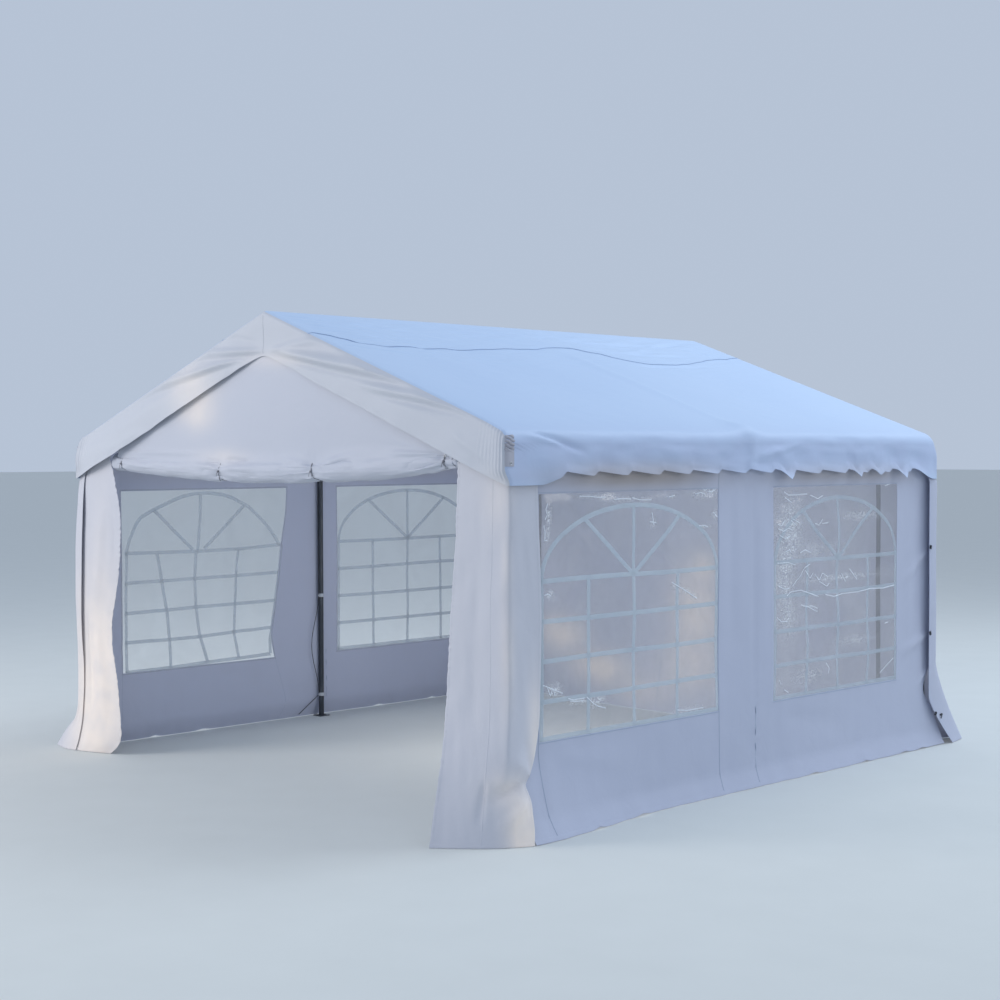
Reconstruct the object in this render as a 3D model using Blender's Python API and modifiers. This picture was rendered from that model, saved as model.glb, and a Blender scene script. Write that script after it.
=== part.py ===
"""A marquee tent: a steel tube frame on six legs, a ridged sheet roof with hanging edges, two side
walls with window film, a closed back wall, and a front wall whose door is rolled up.
X runs along the front gable, the front gable faces -Y, and +Z is up. The origin is on the ground,
in the middle of the plan."""

import math

import bpy
import bmesh
from mathutils import Matrix, Vector

# Driving dimensions of the whole tent
WIDTH = 4.0
LENGTH = 4.0
EAVE_HEIGHT = 2.063
RIDGE_HEIGHT = 2.790
EDGE_DROP = 0.267
FABRIC = 0.003
FILM = 0.001
GAP = 0.0003

# Steel frame
TUBE_DIAMETER = 0.038
FITTING_DIAMETER = 0.043
ARM_LENGTH = 0.130
ARM_OVERRUN = 0.010
SOCKET_DEPTH = 0.060
SOCKET_CLEARANCE = 0.0007
TUBE_SIDES = 16
FOOT_SIDE = 0.090
FOOT_THICKNESS = 0.005
PEG_HOLE_DIAMETER = 0.012
PEG_HOLE_INSET = 0.015

# Space between the hanging edges of the roof and the walls behind them
FRONT_WALL_INSET = 0.020
FLAP_INSET = 0.020
SIDE_WALL_INSET = 0.025

# Roof sheet, with its rounded eave, and the cut edge that hangs from it
EAVE_RADIUS = 0.055
EAVE_STEPS = 6
SCALLOP_PITCH = 0.262
SCALLOP_HEIGHT = 0.024
SCALLOP_LIFT = 0.052
PLAIN_CORNER = 0.280
SCALLOP_STEPS = 6

# Walls
HEM_CLEARANCE = 0.004
SIDE_WALL_END = 0.070
SIDE_WALL_TOP = 0.045
HEM_FLARE = 0.040
HEM_FLARE_TOP = 0.330
HEM_SWING = 0.150
WINDOW_SILL = 0.500
WINDOW_HEAD_DROP = 0.293
RIGHT_WINDOW_MARGINS = (0.170, 0.280, 0.250, 0.330)
LEFT_WINDOW_MARGINS = (0.230, 0.300, 0.180, 0.330)

# Front wall: gable panel, strips beside the doorway, and the rolled-up door
DOORWAY_WIDTH = 3.160
STRIP_DROP = 0.163
STRIP_SEAM = 0.140
CORNER_RADIUS = 0.025
FRONT_FLAP = 0.240
BACK_FLAP = 0.065
SKIRT_TOP = 0.700
SKIRT_CURVE = 1.6
HEM_ROW = 0.100
SKIRT_ROWS = 7
CORNER_STEPS = 4
BACK_WING = 0.200
HEM_DRAW = 0.120
ROLL_RADIUS = 0.074
ROLL_TIE_RADIUS = 0.064
ROLL_END_RADIUS = 0.046
ROLL_LEFT_DROP = 0.157
ROLL_RIGHT_DROP = 0.141
ROLL_SAG = 0.052
ROLL_END_GAP = 0.020
ROLL_TIES = 4
ROLL_STEPS = 36
TIE_PINCH_POWER = 8

# How far out each hem swings at the ground, as (x, y) shifts. A strip's are at its flap's free end,
# at the corner, at its seam and at the doorway, and the back wall's are at its flap's end and corner.
RIGHT_STRIP_HEM = ((0.130, 0.180), (0.080, 0.110), (0.140, 0.200), (0.170, 0.340))
LEFT_STRIP_HEM = ((0.130, 0.180), (0.050, 0.130), (0.030, 0.110), (0.040, 0.020))
BACK_FLAP_HEM = (0.090, 0.160)
BACK_CORNER_HEM = (0.080, 0.340)
BACK_WING_HEM = (0, 0.020)

# Cord beside each middle leg, and the heights of the clips that hold it
CORD_DIAMETER = 0.005
UPPER_CLIP = 0.900
LOWER_CLIP = 0.160
CORD_BOW = 0.090
CORD_TAIL = 0.150
CORD_FOOT = 0.020

# Planes and lines that follow from the sizes above
SLOPE = math.atan2(RIDGE_HEIGHT - EAVE_HEIGHT, WIDTH / 2)
TUBE_RADIUS = TUBE_DIAMETER / 2
FITTING_RADIUS = FITTING_DIAMETER / 2
FRONT_FACE = LENGTH / 2 - FRONT_WALL_INSET
FLAP_FACE = WIDTH / 2 - FLAP_INSET
SIDE_FACE = WIDTH / 2 - SIDE_WALL_INSET
FRAME_X = SIDE_FACE - FABRIC - GAP - FITTING_RADIUS
FRAME_Y = FRONT_FACE - FABRIC - GAP - FITTING_RADIUS
ROLL_Y = -(LENGTH / 2 - FABRIC - GAP - ROLL_RADIUS)
STRIP_TOP = EAVE_HEIGHT - STRIP_DROP
WINDOW_HEAD = EAVE_HEIGHT - WINDOW_HEAD_DROP


def roof_underside(x):
    """Height of the roof sheet's lower face at this distance from the ridge."""
    return RIDGE_HEIGHT - abs(x) * math.tan(SLOPE) - FABRIC / math.cos(SLOPE)


def frame_height(x):
    """Height of the rafters' centre line, so that the fittings just carry the roof sheet."""
    return roof_underside(x) - (FITTING_RADIUS + GAP) / math.cos(SLOPE)


EAVE_FRAME_HEIGHT = frame_height(FRAME_X)
RIDGE_FRAME_HEIGHT = frame_height(0)
SIDES = {"left": -1, "right": 1}
ROWS = {"front": -1, "middle": 0, "back": 1}

for old in list(bpy.data.objects):
    bpy.data.objects.remove(old)

tent = bpy.data.collections.new("marquee_tent")
cutters = bpy.data.collections.new("cutters")
bpy.context.scene.collection.children.link(tent)
bpy.context.scene.collection.children.link(cutters)


def finish_material(name, color, roughness, metallic=0.0, alpha=1.0):
    material = bpy.data.materials.new(name)
    material.use_nodes = True
    shader = material.node_tree.nodes["Principled BSDF"]
    shader.inputs["Base Color"].default_value = (*color, 1)
    shader.inputs["Roughness"].default_value = roughness
    shader.inputs["Metallic"].default_value = metallic
    shader.inputs["Alpha"].default_value = alpha
    return material


STEEL = finish_material("grey_painted_steel", (0.11, 0.12, 0.13), 0.45, 0.3)
SHEET = finish_material("white_sheet", (0.78, 0.79, 0.84), 0.6)
CLEAR = finish_material("clear_film", (0.85, 0.88, 0.90), 0.08, alpha=0.3)
CORD = finish_material("dark_cord", (0.05, 0.05, 0.06), 0.8)


def keep(obj, name, material, collection=tent):
    """Names the object, gives it its material and puts it in its collection."""
    obj.name = name
    obj.data.name = name
    obj.data.materials.clear()
    obj.data.materials.append(material)
    for holder in list(obj.users_collection):
        holder.objects.unlink(obj)
    collection.objects.link(obj)
    return obj


def hide_cutter(obj):
    obj.hide_render = True
    obj.display_type = "WIRE"


def from_bmesh(mesh_data, name, material, collection=tent):
    mesh = bpy.data.meshes.new(name)
    mesh_data.to_mesh(mesh)
    mesh_data.free()
    obj = bpy.data.objects.new(name, mesh)
    bpy.context.scene.collection.objects.link(obj)
    return keep(obj, name, material, collection)


def rod(name, start, end, radius, material, collection=tent, turn=0.0):
    """A round bar between two points. turn rotates its flats about its own axis."""
    start = Vector(start)
    end = Vector(end)
    along = end - start
    body = bmesh.new()
    bmesh.ops.create_cone(
        body, cap_ends=True, segments=TUBE_SIDES, radius1=radius, radius2=radius, depth=along.length
    )
    for face in body.faces:
        face.smooth = len(face.verts) == 4
    obj = from_bmesh(body, name, material, collection)
    aim = along.to_track_quat("Z", "Y").to_matrix().to_4x4()
    obj.matrix_world = Matrix.Translation((start + end) / 2) @ aim @ Matrix.Rotation(turn, 4, "Z")
    return obj


def combine(obj, tools, operation):
    """Joins these helper objects to a part, or cuts them out of it."""
    for tool in tools:
        hide_cutter(tool)
        modifier = obj.modifiers.new(tool.name, "BOOLEAN")
        modifier.operation = operation
        modifier.solver = "EXACT"
        modifier.object = tool


def fitting(name, centre, straight, sloping):
    """Welded sleeves that meet at one point, each with a socket for a tube. The straight ones run a
    little past the point, so that the corner between them is filled."""
    centre = Vector(centre)
    arms = []
    bores = []
    for index, direction in enumerate(straight + sloping):
        along = Vector(direction).normalized()
        root = centre - along * ARM_OVERRUN if index < len(straight) else centre
        tip = centre + along * ARM_LENGTH
        turn = math.tau / TUBE_SIDES * index / (len(straight) + len(sloping))
        arms.append(
            rod(f"{name}_arm_{index}", root, tip, FITTING_RADIUS, STEEL, cutters if index else tent, turn)
        )
        bores.append(
            rod(f"{name}_bore_{index}", tip - along * SOCKET_DEPTH, tip + along * ARM_OVERRUN,
                TUBE_RADIUS + SOCKET_CLEARANCE, STEEL, cutters, turn)
        )
    body = keep(arms[0], name, STEEL)
    combine(body, arms[1:], "UNION")
    combine(body, bores, "DIFFERENCE")


def tube_between(name, start, end, start_socket=True, end_socket=True):
    """A frame tube whose ends stop at the bottoms of the fittings' sockets."""
    start = Vector(start)
    end = Vector(end)
    along = (end - start).normalized()
    inset = ARM_LENGTH - SOCKET_DEPTH + GAP
    if start_socket:
        start = start + along * inset
    if end_socket:
        end = end - along * inset
    return rod(name, start, end, TUBE_RADIUS, STEEL)


def flat_outline(name, loops, thickness, material, matrix):
    """A flat sheet cut to the first loop, with any further loops as holes through it."""
    curve = bpy.data.curves.new(name, "CURVE")
    curve.dimensions = "2D"
    curve.fill_mode = "BOTH"
    curve.extrude = thickness / 2
    for loop in loops:
        spline = curve.splines.new("POLY")
        spline.points.add(len(loop) - 1)
        for point, place in zip(spline.points, loop):
            point.co = (*place, 0, 1)
        spline.use_cyclic_u = True
    obj = bpy.data.objects.new(name, curve)
    bpy.context.scene.collection.objects.link(obj)
    obj.matrix_world = matrix
    return keep(obj, name, material)


def facing_front(outer_y, thickness):
    """Places an outline of (x, z) points upright, its outer face at this y. Its sign says which way."""
    middle = outer_y - math.copysign(thickness / 2, outer_y)
    return Matrix.Translation((0, middle, 0)) @ Matrix.Rotation(math.pi / 2, 4, "X")


def facing_side(outer_x, thickness):
    """Places an outline of (y, z) points upright, its outer face at this x. Its sign says which way."""
    middle = outer_x - math.copysign(thickness / 2, outer_x)
    turn = Matrix.Rotation(math.pi / 2, 4, "Z") @ Matrix.Rotation(math.pi / 2, 4, "X")
    return Matrix.Translation((middle, 0, 0)) @ turn


def shell(name, rows, material, thickness, holes=()):
    """A sheet from rows of points that run the same way, with its faces turned outwards. holes are
    the (row, column) cells left open."""
    body = bmesh.new()
    grid = [[body.verts.new(place) for place in row] for row in rows]
    for r in range(len(grid) - 1):
        for c in range(len(grid[0]) - 1):
            if (r, c) not in holes:
                body.faces.new((grid[r][c], grid[r][c + 1], grid[r + 1][c + 1], grid[r + 1][c]))
    obj = from_bmesh(body, name, material)
    obj.data.shade_smooth()
    wall = obj.modifiers.new("thickness", "SOLIDIFY")
    wall.thickness = thickness
    wall.offset = -1
    wall.use_even_offset = True
    return obj


def legs():
    for row, y_sign in ROWS.items():
        for side, x_sign in SIDES.items():
            x = x_sign * FRAME_X
            y = y_sign * FRAME_Y
            name = f"leg_{row}_{side}"
            top = (x, y, EAVE_FRAME_HEIGHT)
            leg = tube_between(name, (x, y, FOOT_THICKNESS / 2), top, start_socket=False)
            bpy.ops.mesh.primitive_cube_add(size=1, location=(x, y, FOOT_THICKNESS / 2))
            plate = keep(bpy.context.object, f"{name}_plate", STEEL, cutters)
            plate.dimensions = (FOOT_SIDE, FOOT_SIDE, FOOT_THICKNESS)
            holes = []
            reach = FOOT_SIDE / 2 - PEG_HOLE_INSET
            for corner in (-1, 1):
                place = Vector((x + corner * reach, y + corner * reach, 0))
                over = Vector((0, 0, 2 * FOOT_THICKNESS))
                holes.append(
                    rod(f"{name}_hole_{corner}", place - over, place + over, PEG_HOLE_DIAMETER / 2,
                        STEEL, cutters)
                )
            combine(leg, [plate], "UNION")
            combine(leg, holes, "DIFFERENCE")


def frame_tubes():
    for side, x_sign in SIDES.items():
        eave_x = x_sign * FRAME_X
        for row, y_sign in ROWS.items():
            y = y_sign * FRAME_Y
            tube_between(
                f"rafter_{row}_{side}", (eave_x, y, EAVE_FRAME_HEIGHT), (0, y, RIDGE_FRAME_HEIGHT)
            )
        for row, y in (("front", -FRAME_Y), ("back", FRAME_Y)):
            tube_between(
                f"eave_tube_{row}_{side}", (eave_x, y, EAVE_FRAME_HEIGHT), (eave_x, 0, EAVE_FRAME_HEIGHT)
            )
    for row, y in (("front", -FRAME_Y), ("back", FRAME_Y)):
        tube_between(f"ridge_tube_{row}", (0, y, RIDGE_FRAME_HEIGHT), (0, 0, RIDGE_FRAME_HEIGHT))


def fittings():
    for row, y_sign in ROWS.items():
        y = y_sign * FRAME_Y
        inward = [(0, -y_sign, 0)] if y_sign else [(0, 1, 0), (0, -1, 0)]
        for side, x_sign in SIDES.items():
            up_slope = (-x_sign * math.cos(SLOPE), 0, math.sin(SLOPE))
            fitting(
                f"eave_fitting_{row}_{side}",
                (x_sign * FRAME_X, y, EAVE_FRAME_HEIGHT),
                [(0, 0, -1), *inward],
                [up_slope],
            )
        down_slopes = [(sign * math.cos(SLOPE), 0, -math.sin(SLOPE)) for sign in (-1, 1)]
        fitting(f"ridge_fitting_{row}", (0, y, RIDGE_FRAME_HEIGHT), inward, down_slopes)


def spaced(low, high, count):
    return [low + (high - low) * step / count for step in range(count + 1)]


def eave_arc(radius):
    """Points round the eave, from the slope down to the hanging edge, about the one centre."""
    turn = math.pi / 2 - SLOPE
    back = EAVE_RADIUS * math.tan(turn / 2)
    centre_x = WIDTH / 2 - EAVE_RADIUS
    centre_z = EAVE_HEIGHT - back
    angles = [math.pi / 2 - SLOPE - turn * share for share in spaced(0, 1, EAVE_STEPS)]
    return [(centre_x + radius * math.cos(a), centre_z + radius * math.sin(a)) for a in angles]


EAVE_LIP = eave_arc(EAVE_RADIUS)[-1][1]


def roof_sheets():
    """One half of the roof's cross section, drawn along the ridge. The seam at the ridge stays open."""
    seam = GAP / 2
    outer = [(seam, RIDGE_HEIGHT - seam * math.tan(SLOPE)), *eave_arc(EAVE_RADIUS)]
    inner = [(seam, roof_underside(seam)), *eave_arc(EAVE_RADIUS - FABRIC)]
    for side, sign in SIDES.items():
        loop = [(sign * x, z) for x, z in outer + inner[::-1]]
        upright = Matrix.Rotation(math.pi / 2, 4, "X")
        flat_outline(f"roof_sheet_{side}", [loop], LENGTH, SHEET, upright)


def valance_edge():
    """The cut lower edge, as (y, z) points: plain at the corners and scalloped between them."""
    low = EAVE_HEIGHT - EDGE_DROP
    reach = LENGTH / 2 - PLAIN_CORNER
    count = round(2 * reach / SCALLOP_PITCH)
    points = [(-LENGTH / 2, low), (-reach, low)]
    for index in range(count * SCALLOP_STEPS + 1):
        along = index / SCALLOP_STEPS
        dip = SCALLOP_HEIGHT * math.sin(math.pi * (along % 1))
        points.append((-reach + 2 * reach * along / count, low + SCALLOP_LIFT + SCALLOP_HEIGHT - dip))
    return points + [(reach, low), (LENGTH / 2, low)]


def valances():
    top = EAVE_LIP - GAP
    loop = valance_edge() + [(LENGTH / 2, top), (-LENGTH / 2, top)]
    for side, sign in SIDES.items():
        place = facing_side(sign * WIDTH / 2, FABRIC)
        flat_outline(f"valance_{side}", [loop], FABRIC, SHEET, place)


def gable_bands():
    """A band of even height that hangs under each end of the roof sheet, between the valances."""
    drop = FABRIC + GAP
    edge = [(x, z) for x, z in eave_arc(EAVE_RADIUS - drop) if x < WIDTH / 2 - drop]
    corner = WIDTH / 2 - drop
    low = EAVE_HEIGHT - EDGE_DROP
    top = RIDGE_HEIGHT - drop / math.cos(SLOPE)
    right = [*edge, (corner, EAVE_LIP), (corner, low), (corner - CORNER_RADIUS, low)]
    bottom = (0, RIDGE_HEIGHT - EDGE_DROP)
    left = [(-x, z) for x, z in reversed(right)]
    loop = [(0, top), *right, bottom, *left]
    for row, y in (("front", -LENGTH / 2), ("back", LENGTH / 2)):
        flat_outline(f"gable_band_{row}", [loop], FABRIC, SHEET, facing_front(y, FABRIC))


def flare(z, top, curve):
    """How far open a hanging sheet is at this height: nothing above top, and 1 on the ground."""
    return max(0.0, 1 - z / top) ** curve


def window_spans(margins):
    """The two windows' (low y, high y) from the wall's ends and from the middle leg."""
    end = LENGTH / 2 - SIDE_WALL_END
    front_margin, front_middle, back_middle, back_margin = margins
    return (-end + front_margin, -front_middle), (back_middle, end - back_margin)


def side_wall(side, sign, margins):
    """A sheet with two windows cut through it, and a hem that stands out a little at the ground."""
    end = LENGTH / 2 - SIDE_WALL_END
    front, back = window_spans(margins)
    columns = [-end, *spaced(*front, 4), *spaced(*back, 4), end]
    low = [HEM_CLEARANCE, *spaced(HEM_FLARE_TOP / 5, HEM_FLARE_TOP, 4)]
    levels = [*low, WINDOW_SILL, WINDOW_HEAD, EAVE_HEIGHT - SIDE_WALL_TOP]
    sill_row = levels.index(WINDOW_SILL)
    open_columns = [*range(1, 5), *range(6, 10)]
    rows = []
    for z in levels:
        x = SIDE_FACE + HEM_FLARE * flare(z, HEM_FLARE_TOP, SKIRT_CURVE)
        swing = HEM_SWING * flare(z, SKIRT_TOP, SKIRT_CURVE)
        row = [(sign * x, y, z) for y in columns[:-1]] + [(sign * x, end + swing, z)]
        rows.append(row if sign > 0 else row[::-1])
    cells = [c if sign > 0 else len(columns) - 2 - c for c in open_columns]
    holes = {(sill_row, c) for c in cells}
    shell(f"side_wall_{side}", rows, SHEET, FABRIC, holes)


def window_films(side, sign, margins):
    """One film for each window, let into the wall's thickness."""
    outer = SIDE_FACE - (FABRIC - FILM) / 2
    for bay, (low_y, high_y) in zip(("front", "back"), window_spans(margins)):
        size = (FILM, high_y - low_y - 2 * GAP, WINDOW_HEAD - WINDOW_SILL - 2 * GAP)
        middle = (sign * (outer - FILM / 2), (low_y + high_y) / 2, (WINDOW_HEAD + WINDOW_SILL) / 2)
        body = bmesh.new()
        bmesh.ops.create_cube(body, size=1, matrix=Matrix.Translation(middle) @ Matrix.Diagonal((*size, 1)))
        from_bmesh(body, f"window_film_{bay}_{side}", CLEAR)


def smooth_between(stations, at):
    """A value that eases from one station's to the next. Each station is (place, value)."""
    if at <= stations[0][0]:
        return stations[0][1]
    for (low, low_value), (high, high_value) in zip(stations, stations[1:]):
        if at <= high:
            ease = (1 - math.cos(math.pi * (at - low) / (high - low))) / 2
            return low_value + (high_value - low_value) * ease
    return stations[-1][1]


def corner_path(flap_end, along_front):
    """Plan points at one corner, from the end of the flap on the side, round the corner, and on to
    each of these distances from the middle. All are in the +X, +Y quarter."""
    centre_x = FLAP_FACE - CORNER_RADIUS
    centre_y = FRONT_FACE - CORNER_RADIUS
    path = [(FLAP_FACE, y) for y in spaced(flap_end, centre_y, 3)]
    for angle in spaced(0, math.pi / 2, CORNER_STEPS)[1:-1]:
        path.append((centre_x + CORNER_RADIUS * math.cos(angle), centre_y + CORNER_RADIUS * math.sin(angle)))
    return path + [(x, FRONT_FACE) for x in along_front]


def hung_rows(path, shifts, levels):
    """Rows of points for a sheet that hangs from a path and opens outwards towards the ground.
    shifts are (distance along the path, x shift, y shift) at the hem."""
    travelled = [0.0]
    for (x0, y0), (x1, y1) in zip(path, path[1:]):
        travelled.append(travelled[-1] + math.hypot(x1 - x0, y1 - y0))
    rows = []
    for z in levels:
        open_by = flare(z, SKIRT_TOP, SKIRT_CURVE)
        row = []
        for (x, y), at in zip(path, travelled):
            dx = smooth_between([(s, a) for s, a, _ in shifts], at) * open_by
            dy = smooth_between([(s, b) for s, _, b in shifts], at) * open_by
            row.append((x + dx, y + dy, z))
        rows.append(row)
    return rows


def hanging_levels(top):
    return [HEM_CLEARANCE, *spaced(HEM_ROW, SKIRT_TOP, SKIRT_ROWS), top]


def front_strip(side, sign, hem):
    """The strip beside the doorway, with the flap that it folds round the corner. hem gives the
    outward (x, y) shifts of its hem at the flap's end, the corner, the seam and the doorway."""
    flap_end = LENGTH / 2 - FRONT_FLAP
    centre_x = FLAP_FACE - CORNER_RADIUS
    path = corner_path(flap_end, spaced(centre_x, DOORWAY_WIDTH / 2, 6))
    corner_at = FRONT_FACE - flap_end
    edge_at = corner_at + FLAP_FACE - DOORWAY_WIDTH / 2
    stations = (0, corner_at, corner_at + STRIP_SEAM, edge_at)
    shifts = [(at, *shift) for at, shift in zip(stations, hem)]
    rows = hung_rows(path, shifts, hanging_levels(STRIP_TOP))
    placed = [[(sign * x, -y, z) for x, y, z in row] for row in rows]
    if sign > 0:
        placed = [row[::-1] for row in placed]
    shell(f"front_strip_{side}", placed, SHEET, FABRIC)


def front_strips():
    front_strip("right", 1, RIGHT_STRIP_HEM)
    front_strip("left", -1, LEFT_STRIP_HEM)


def gable_height(x):
    """Height of an end wall's upper edge, just clear of the roof sheet."""
    return roof_underside(x) - FABRIC - GAP


def back_wall():
    """The closed back, drawn inwards at its hem between the legs and opened out at its corners."""
    flap_end = LENGTH / 2 - BACK_FLAP
    centre_x = FLAP_FACE - CORNER_RADIUS
    wing_x = centre_x - BACK_WING
    half = corner_path(flap_end, [*spaced(centre_x, wing_x, 3), *spaced(wing_x, 0, 6)[1:]])
    corner_at = FRONT_FACE - flap_end
    middle_at = corner_at + FLAP_FACE
    shifts = [
        (0, *BACK_FLAP_HEM),
        (corner_at, *BACK_CORNER_HEM),
        (corner_at + BACK_WING, *BACK_WING_HEM),
        (corner_at + 2 * BACK_WING, 0, 0),
        (middle_at, 0, -HEM_DRAW),
    ]
    rows = []
    for row in hung_rows(half, shifts, hanging_levels(STRIP_TOP)):
        rows.append(row + [(-x, y, z) for x, y, z in row[-2::-1]])
    rows.append([(x, y, EAVE_HEIGHT - SIDE_WALL_TOP) for x, y, _ in rows[-1]])
    rows.append([(x, y, gable_height(x)) for x, y, _ in rows[-1]])
    gable_row = len(rows) - 2
    corner_cells = len(corner_path(flap_end, []))
    cells = len(rows[0]) - 1
    holes = {(gable_row, c) for c in range(cells) if not corner_cells <= c < cells - corner_cells}
    shell("back_wall", rows, SHEET, FABRIC, holes)


def roll_half_length():
    return DOORWAY_WIDTH / 2 - ROLL_END_GAP


def roll_centre(x):
    """Height of the rolled door's centre: it rises to the right and sags between its ends."""
    share = x / (2 * roll_half_length()) + 0.5
    sag = ROLL_SAG * 4 * share * (1 - share)
    drop = ROLL_LEFT_DROP + (ROLL_RIGHT_DROP - ROLL_LEFT_DROP) * share
    return EAVE_HEIGHT - drop - sag


def roll_radius(x):
    """Half of the rolled door's thickness: pinched at its ties, and small at the right-hand one."""
    share = x / (2 * roll_half_length()) + 0.5
    bay = share * (ROLL_TIES - 1)
    pinch = math.cos(math.pi * bay) ** TIE_PINCH_POWER
    last = ROLL_TIES - 1
    tie = smooth_between([(last - 1, ROLL_TIE_RADIUS), (last, ROLL_END_RADIUS)], bay)
    between = smooth_between([(last - 0.5, ROLL_RADIUS), (last, ROLL_END_RADIUS)], bay)
    return tie * pinch + between * (1 - pinch)


def rolled_door():
    """The door's sheet rolled up under the gable, as one bundle along its own sagging line."""
    curve = bpy.data.curves.new("rolled_door", "CURVE")
    curve.dimensions = "3D"
    curve.bevel_depth = ROLL_RADIUS
    curve.bevel_resolution = 3
    curve.use_fill_caps = True
    spline = curve.splines.new("POLY")
    places = spaced(-roll_half_length(), roll_half_length(), ROLL_STEPS)
    spline.points.add(len(places) - 1)
    for point, x in zip(spline.points, places):
        point.co = (x, ROLL_Y, roll_centre(x), 1)
        point.radius = roll_radius(x) / ROLL_RADIUS
    obj = bpy.data.objects.new("rolled_door", curve)
    bpy.context.scene.collection.objects.link(obj)
    keep(obj, "rolled_door", SHEET)


def gable_panel():
    """The fixed sheet above the doorway. It comes down to the face of the rolled door."""
    inner_face = FRONT_FACE - FABRIC
    reach = inner_face + ROLL_Y
    side = FLAP_FACE - CORNER_RADIUS
    doorway = DOORWAY_WIDTH / 2
    places = spaced(-roll_half_length(), roll_half_length(), ROLL_STEPS)
    over_roll = []
    for x in places:
        rise = math.sqrt(max(roll_radius(x) ** 2 - reach ** 2, 0.0)) if reach > 0 else roll_radius(x)
        over_roll.append((x, roll_centre(x) + rise + GAP))
    low = STRIP_TOP + GAP
    loop = [(-side, low), (-doorway, low), (-doorway, over_roll[0][1]), *over_roll]
    loop += [(doorway, over_roll[-1][1]), (doorway, low), (side, low)]
    loop += [(side, gable_height(side)), (0, gable_height(0)), (-side, gable_height(side))]
    flat_outline("gable_panel_front", [loop], FABRIC, SHEET, facing_front(-FRONT_FACE, FABRIC))


def leg_cord(side, sign):
    """A thin cord beside the middle leg: straight down from the fitting to the upper clip, slack
    down to the lower clip, and then out to the wall's hem."""
    at_fitting = FITTING_RADIUS + GAP + CORD_DIAMETER / 2
    at_tube = TUBE_RADIUS + GAP + CORD_DIAMETER / 2
    top = EAVE_FRAME_HEIGHT - FITTING_RADIUS - GAP
    hem_x = SIDE_FACE - FABRIC + HEM_FLARE * flare(CORD_FOOT, HEM_FLARE_TOP, SKIRT_CURVE)
    reach = hem_x - CORD_DIAMETER / 2 - 2 * GAP - FRAME_X
    route = []
    for share in spaced(0, 1, 4):
        ease = smooth_between([(0.5, at_fitting), (1, at_tube)], share)
        route.append((FRAME_X, -ease, top + (UPPER_CLIP - top) * share))
    for share in spaced(0, 1, 12)[1:]:
        bow = (CORD_BOW - at_tube) * math.sin(math.pi * share) ** 2
        route.append((FRAME_X, -at_tube - bow, UPPER_CLIP + (LOWER_CLIP - UPPER_CLIP) * share))
    for share in spaced(0, 1, 6)[1:]:
        out = (FRAME_X + reach * share, -at_tube - CORD_TAIL * share)
        route.append((*out, LOWER_CLIP + (CORD_FOOT - LOWER_CLIP) * share))
    curve = bpy.data.curves.new(f"leg_cord_{side}", "CURVE")
    curve.dimensions = "3D"
    curve.bevel_depth = CORD_DIAMETER / 2
    curve.bevel_resolution = 1
    curve.use_fill_caps = True
    spline = curve.splines.new("POLY")
    spline.points.add(len(route) - 1)
    for point, (x, y, z) in zip(spline.points, route):
        point.co = (sign * x, y, z, 1)
    obj = bpy.data.objects.new(f"leg_cord_{side}", curve)
    bpy.context.scene.collection.objects.link(obj)
    keep(obj, f"leg_cord_{side}", CORD)


legs()
frame_tubes()
fittings()
roof_sheets()
valances()
gable_bands()
for side, sign in SIDES.items():
    margins = RIGHT_WINDOW_MARGINS if sign > 0 else LEFT_WINDOW_MARGINS
    side_wall(side, sign, margins)
    window_films(side, sign, margins)
    leg_cord(side, sign)
gable_panel()
front_strips()
rolled_door()
back_wall()
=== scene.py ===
"""The looks of a marquee tent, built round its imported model: steel frame, roof cover, hanging edges,
rolled-up door, front strips, side walls with film windows, back wall, cords and fastenings."""

import math

import bpy
import numpy as np
from mathutils import Matrix, Vector


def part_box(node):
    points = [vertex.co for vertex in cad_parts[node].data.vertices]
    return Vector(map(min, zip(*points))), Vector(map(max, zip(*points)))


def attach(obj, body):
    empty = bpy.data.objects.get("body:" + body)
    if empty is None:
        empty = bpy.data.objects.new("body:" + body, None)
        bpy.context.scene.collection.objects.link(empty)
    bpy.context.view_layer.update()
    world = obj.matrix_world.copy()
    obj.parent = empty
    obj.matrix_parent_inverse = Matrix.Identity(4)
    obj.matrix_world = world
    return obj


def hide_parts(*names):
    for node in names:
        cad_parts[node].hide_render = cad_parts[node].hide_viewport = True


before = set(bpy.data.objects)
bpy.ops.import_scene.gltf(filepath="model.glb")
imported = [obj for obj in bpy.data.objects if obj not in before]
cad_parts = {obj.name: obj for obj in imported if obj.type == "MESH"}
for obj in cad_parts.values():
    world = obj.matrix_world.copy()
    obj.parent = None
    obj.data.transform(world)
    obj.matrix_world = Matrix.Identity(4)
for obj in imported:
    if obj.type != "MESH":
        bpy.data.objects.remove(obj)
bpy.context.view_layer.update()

# The camera stands off the front right corner at head height, level with the eave, as in the
# photograph, so that the gable and the right-hand wall are both seen at about 45 degrees.
CAMERA_PLACE = (7.925, -8.014, 1.966)
CAMERA_YAW = 0.78366
CAMERA_PITCH = -0.02843
CAMERA_ROLL = -0.00253
LENS = 61.16
SENSOR = 36.0
VIEW_REACH = 400

bpy.ops.object.select_all(action="DESELECT")
bpy.ops.object.camera_add(location=CAMERA_PLACE)
camera = bpy.context.object
camera.name = "view_camera"
camera.data.lens = LENS
camera.data.sensor_width = SENSOR
camera.data.clip_end = VIEW_REACH
camera.matrix_world = (
    Matrix.Translation(CAMERA_PLACE)
    @ Matrix.Rotation(CAMERA_YAW, 4, "Z")
    @ Matrix.Rotation(math.pi / 2 + CAMERA_PITCH, 4, "X")
    @ Matrix.Rotation(CAMERA_ROLL, 4, "Z")
)
bpy.context.scene.camera = camera

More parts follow.
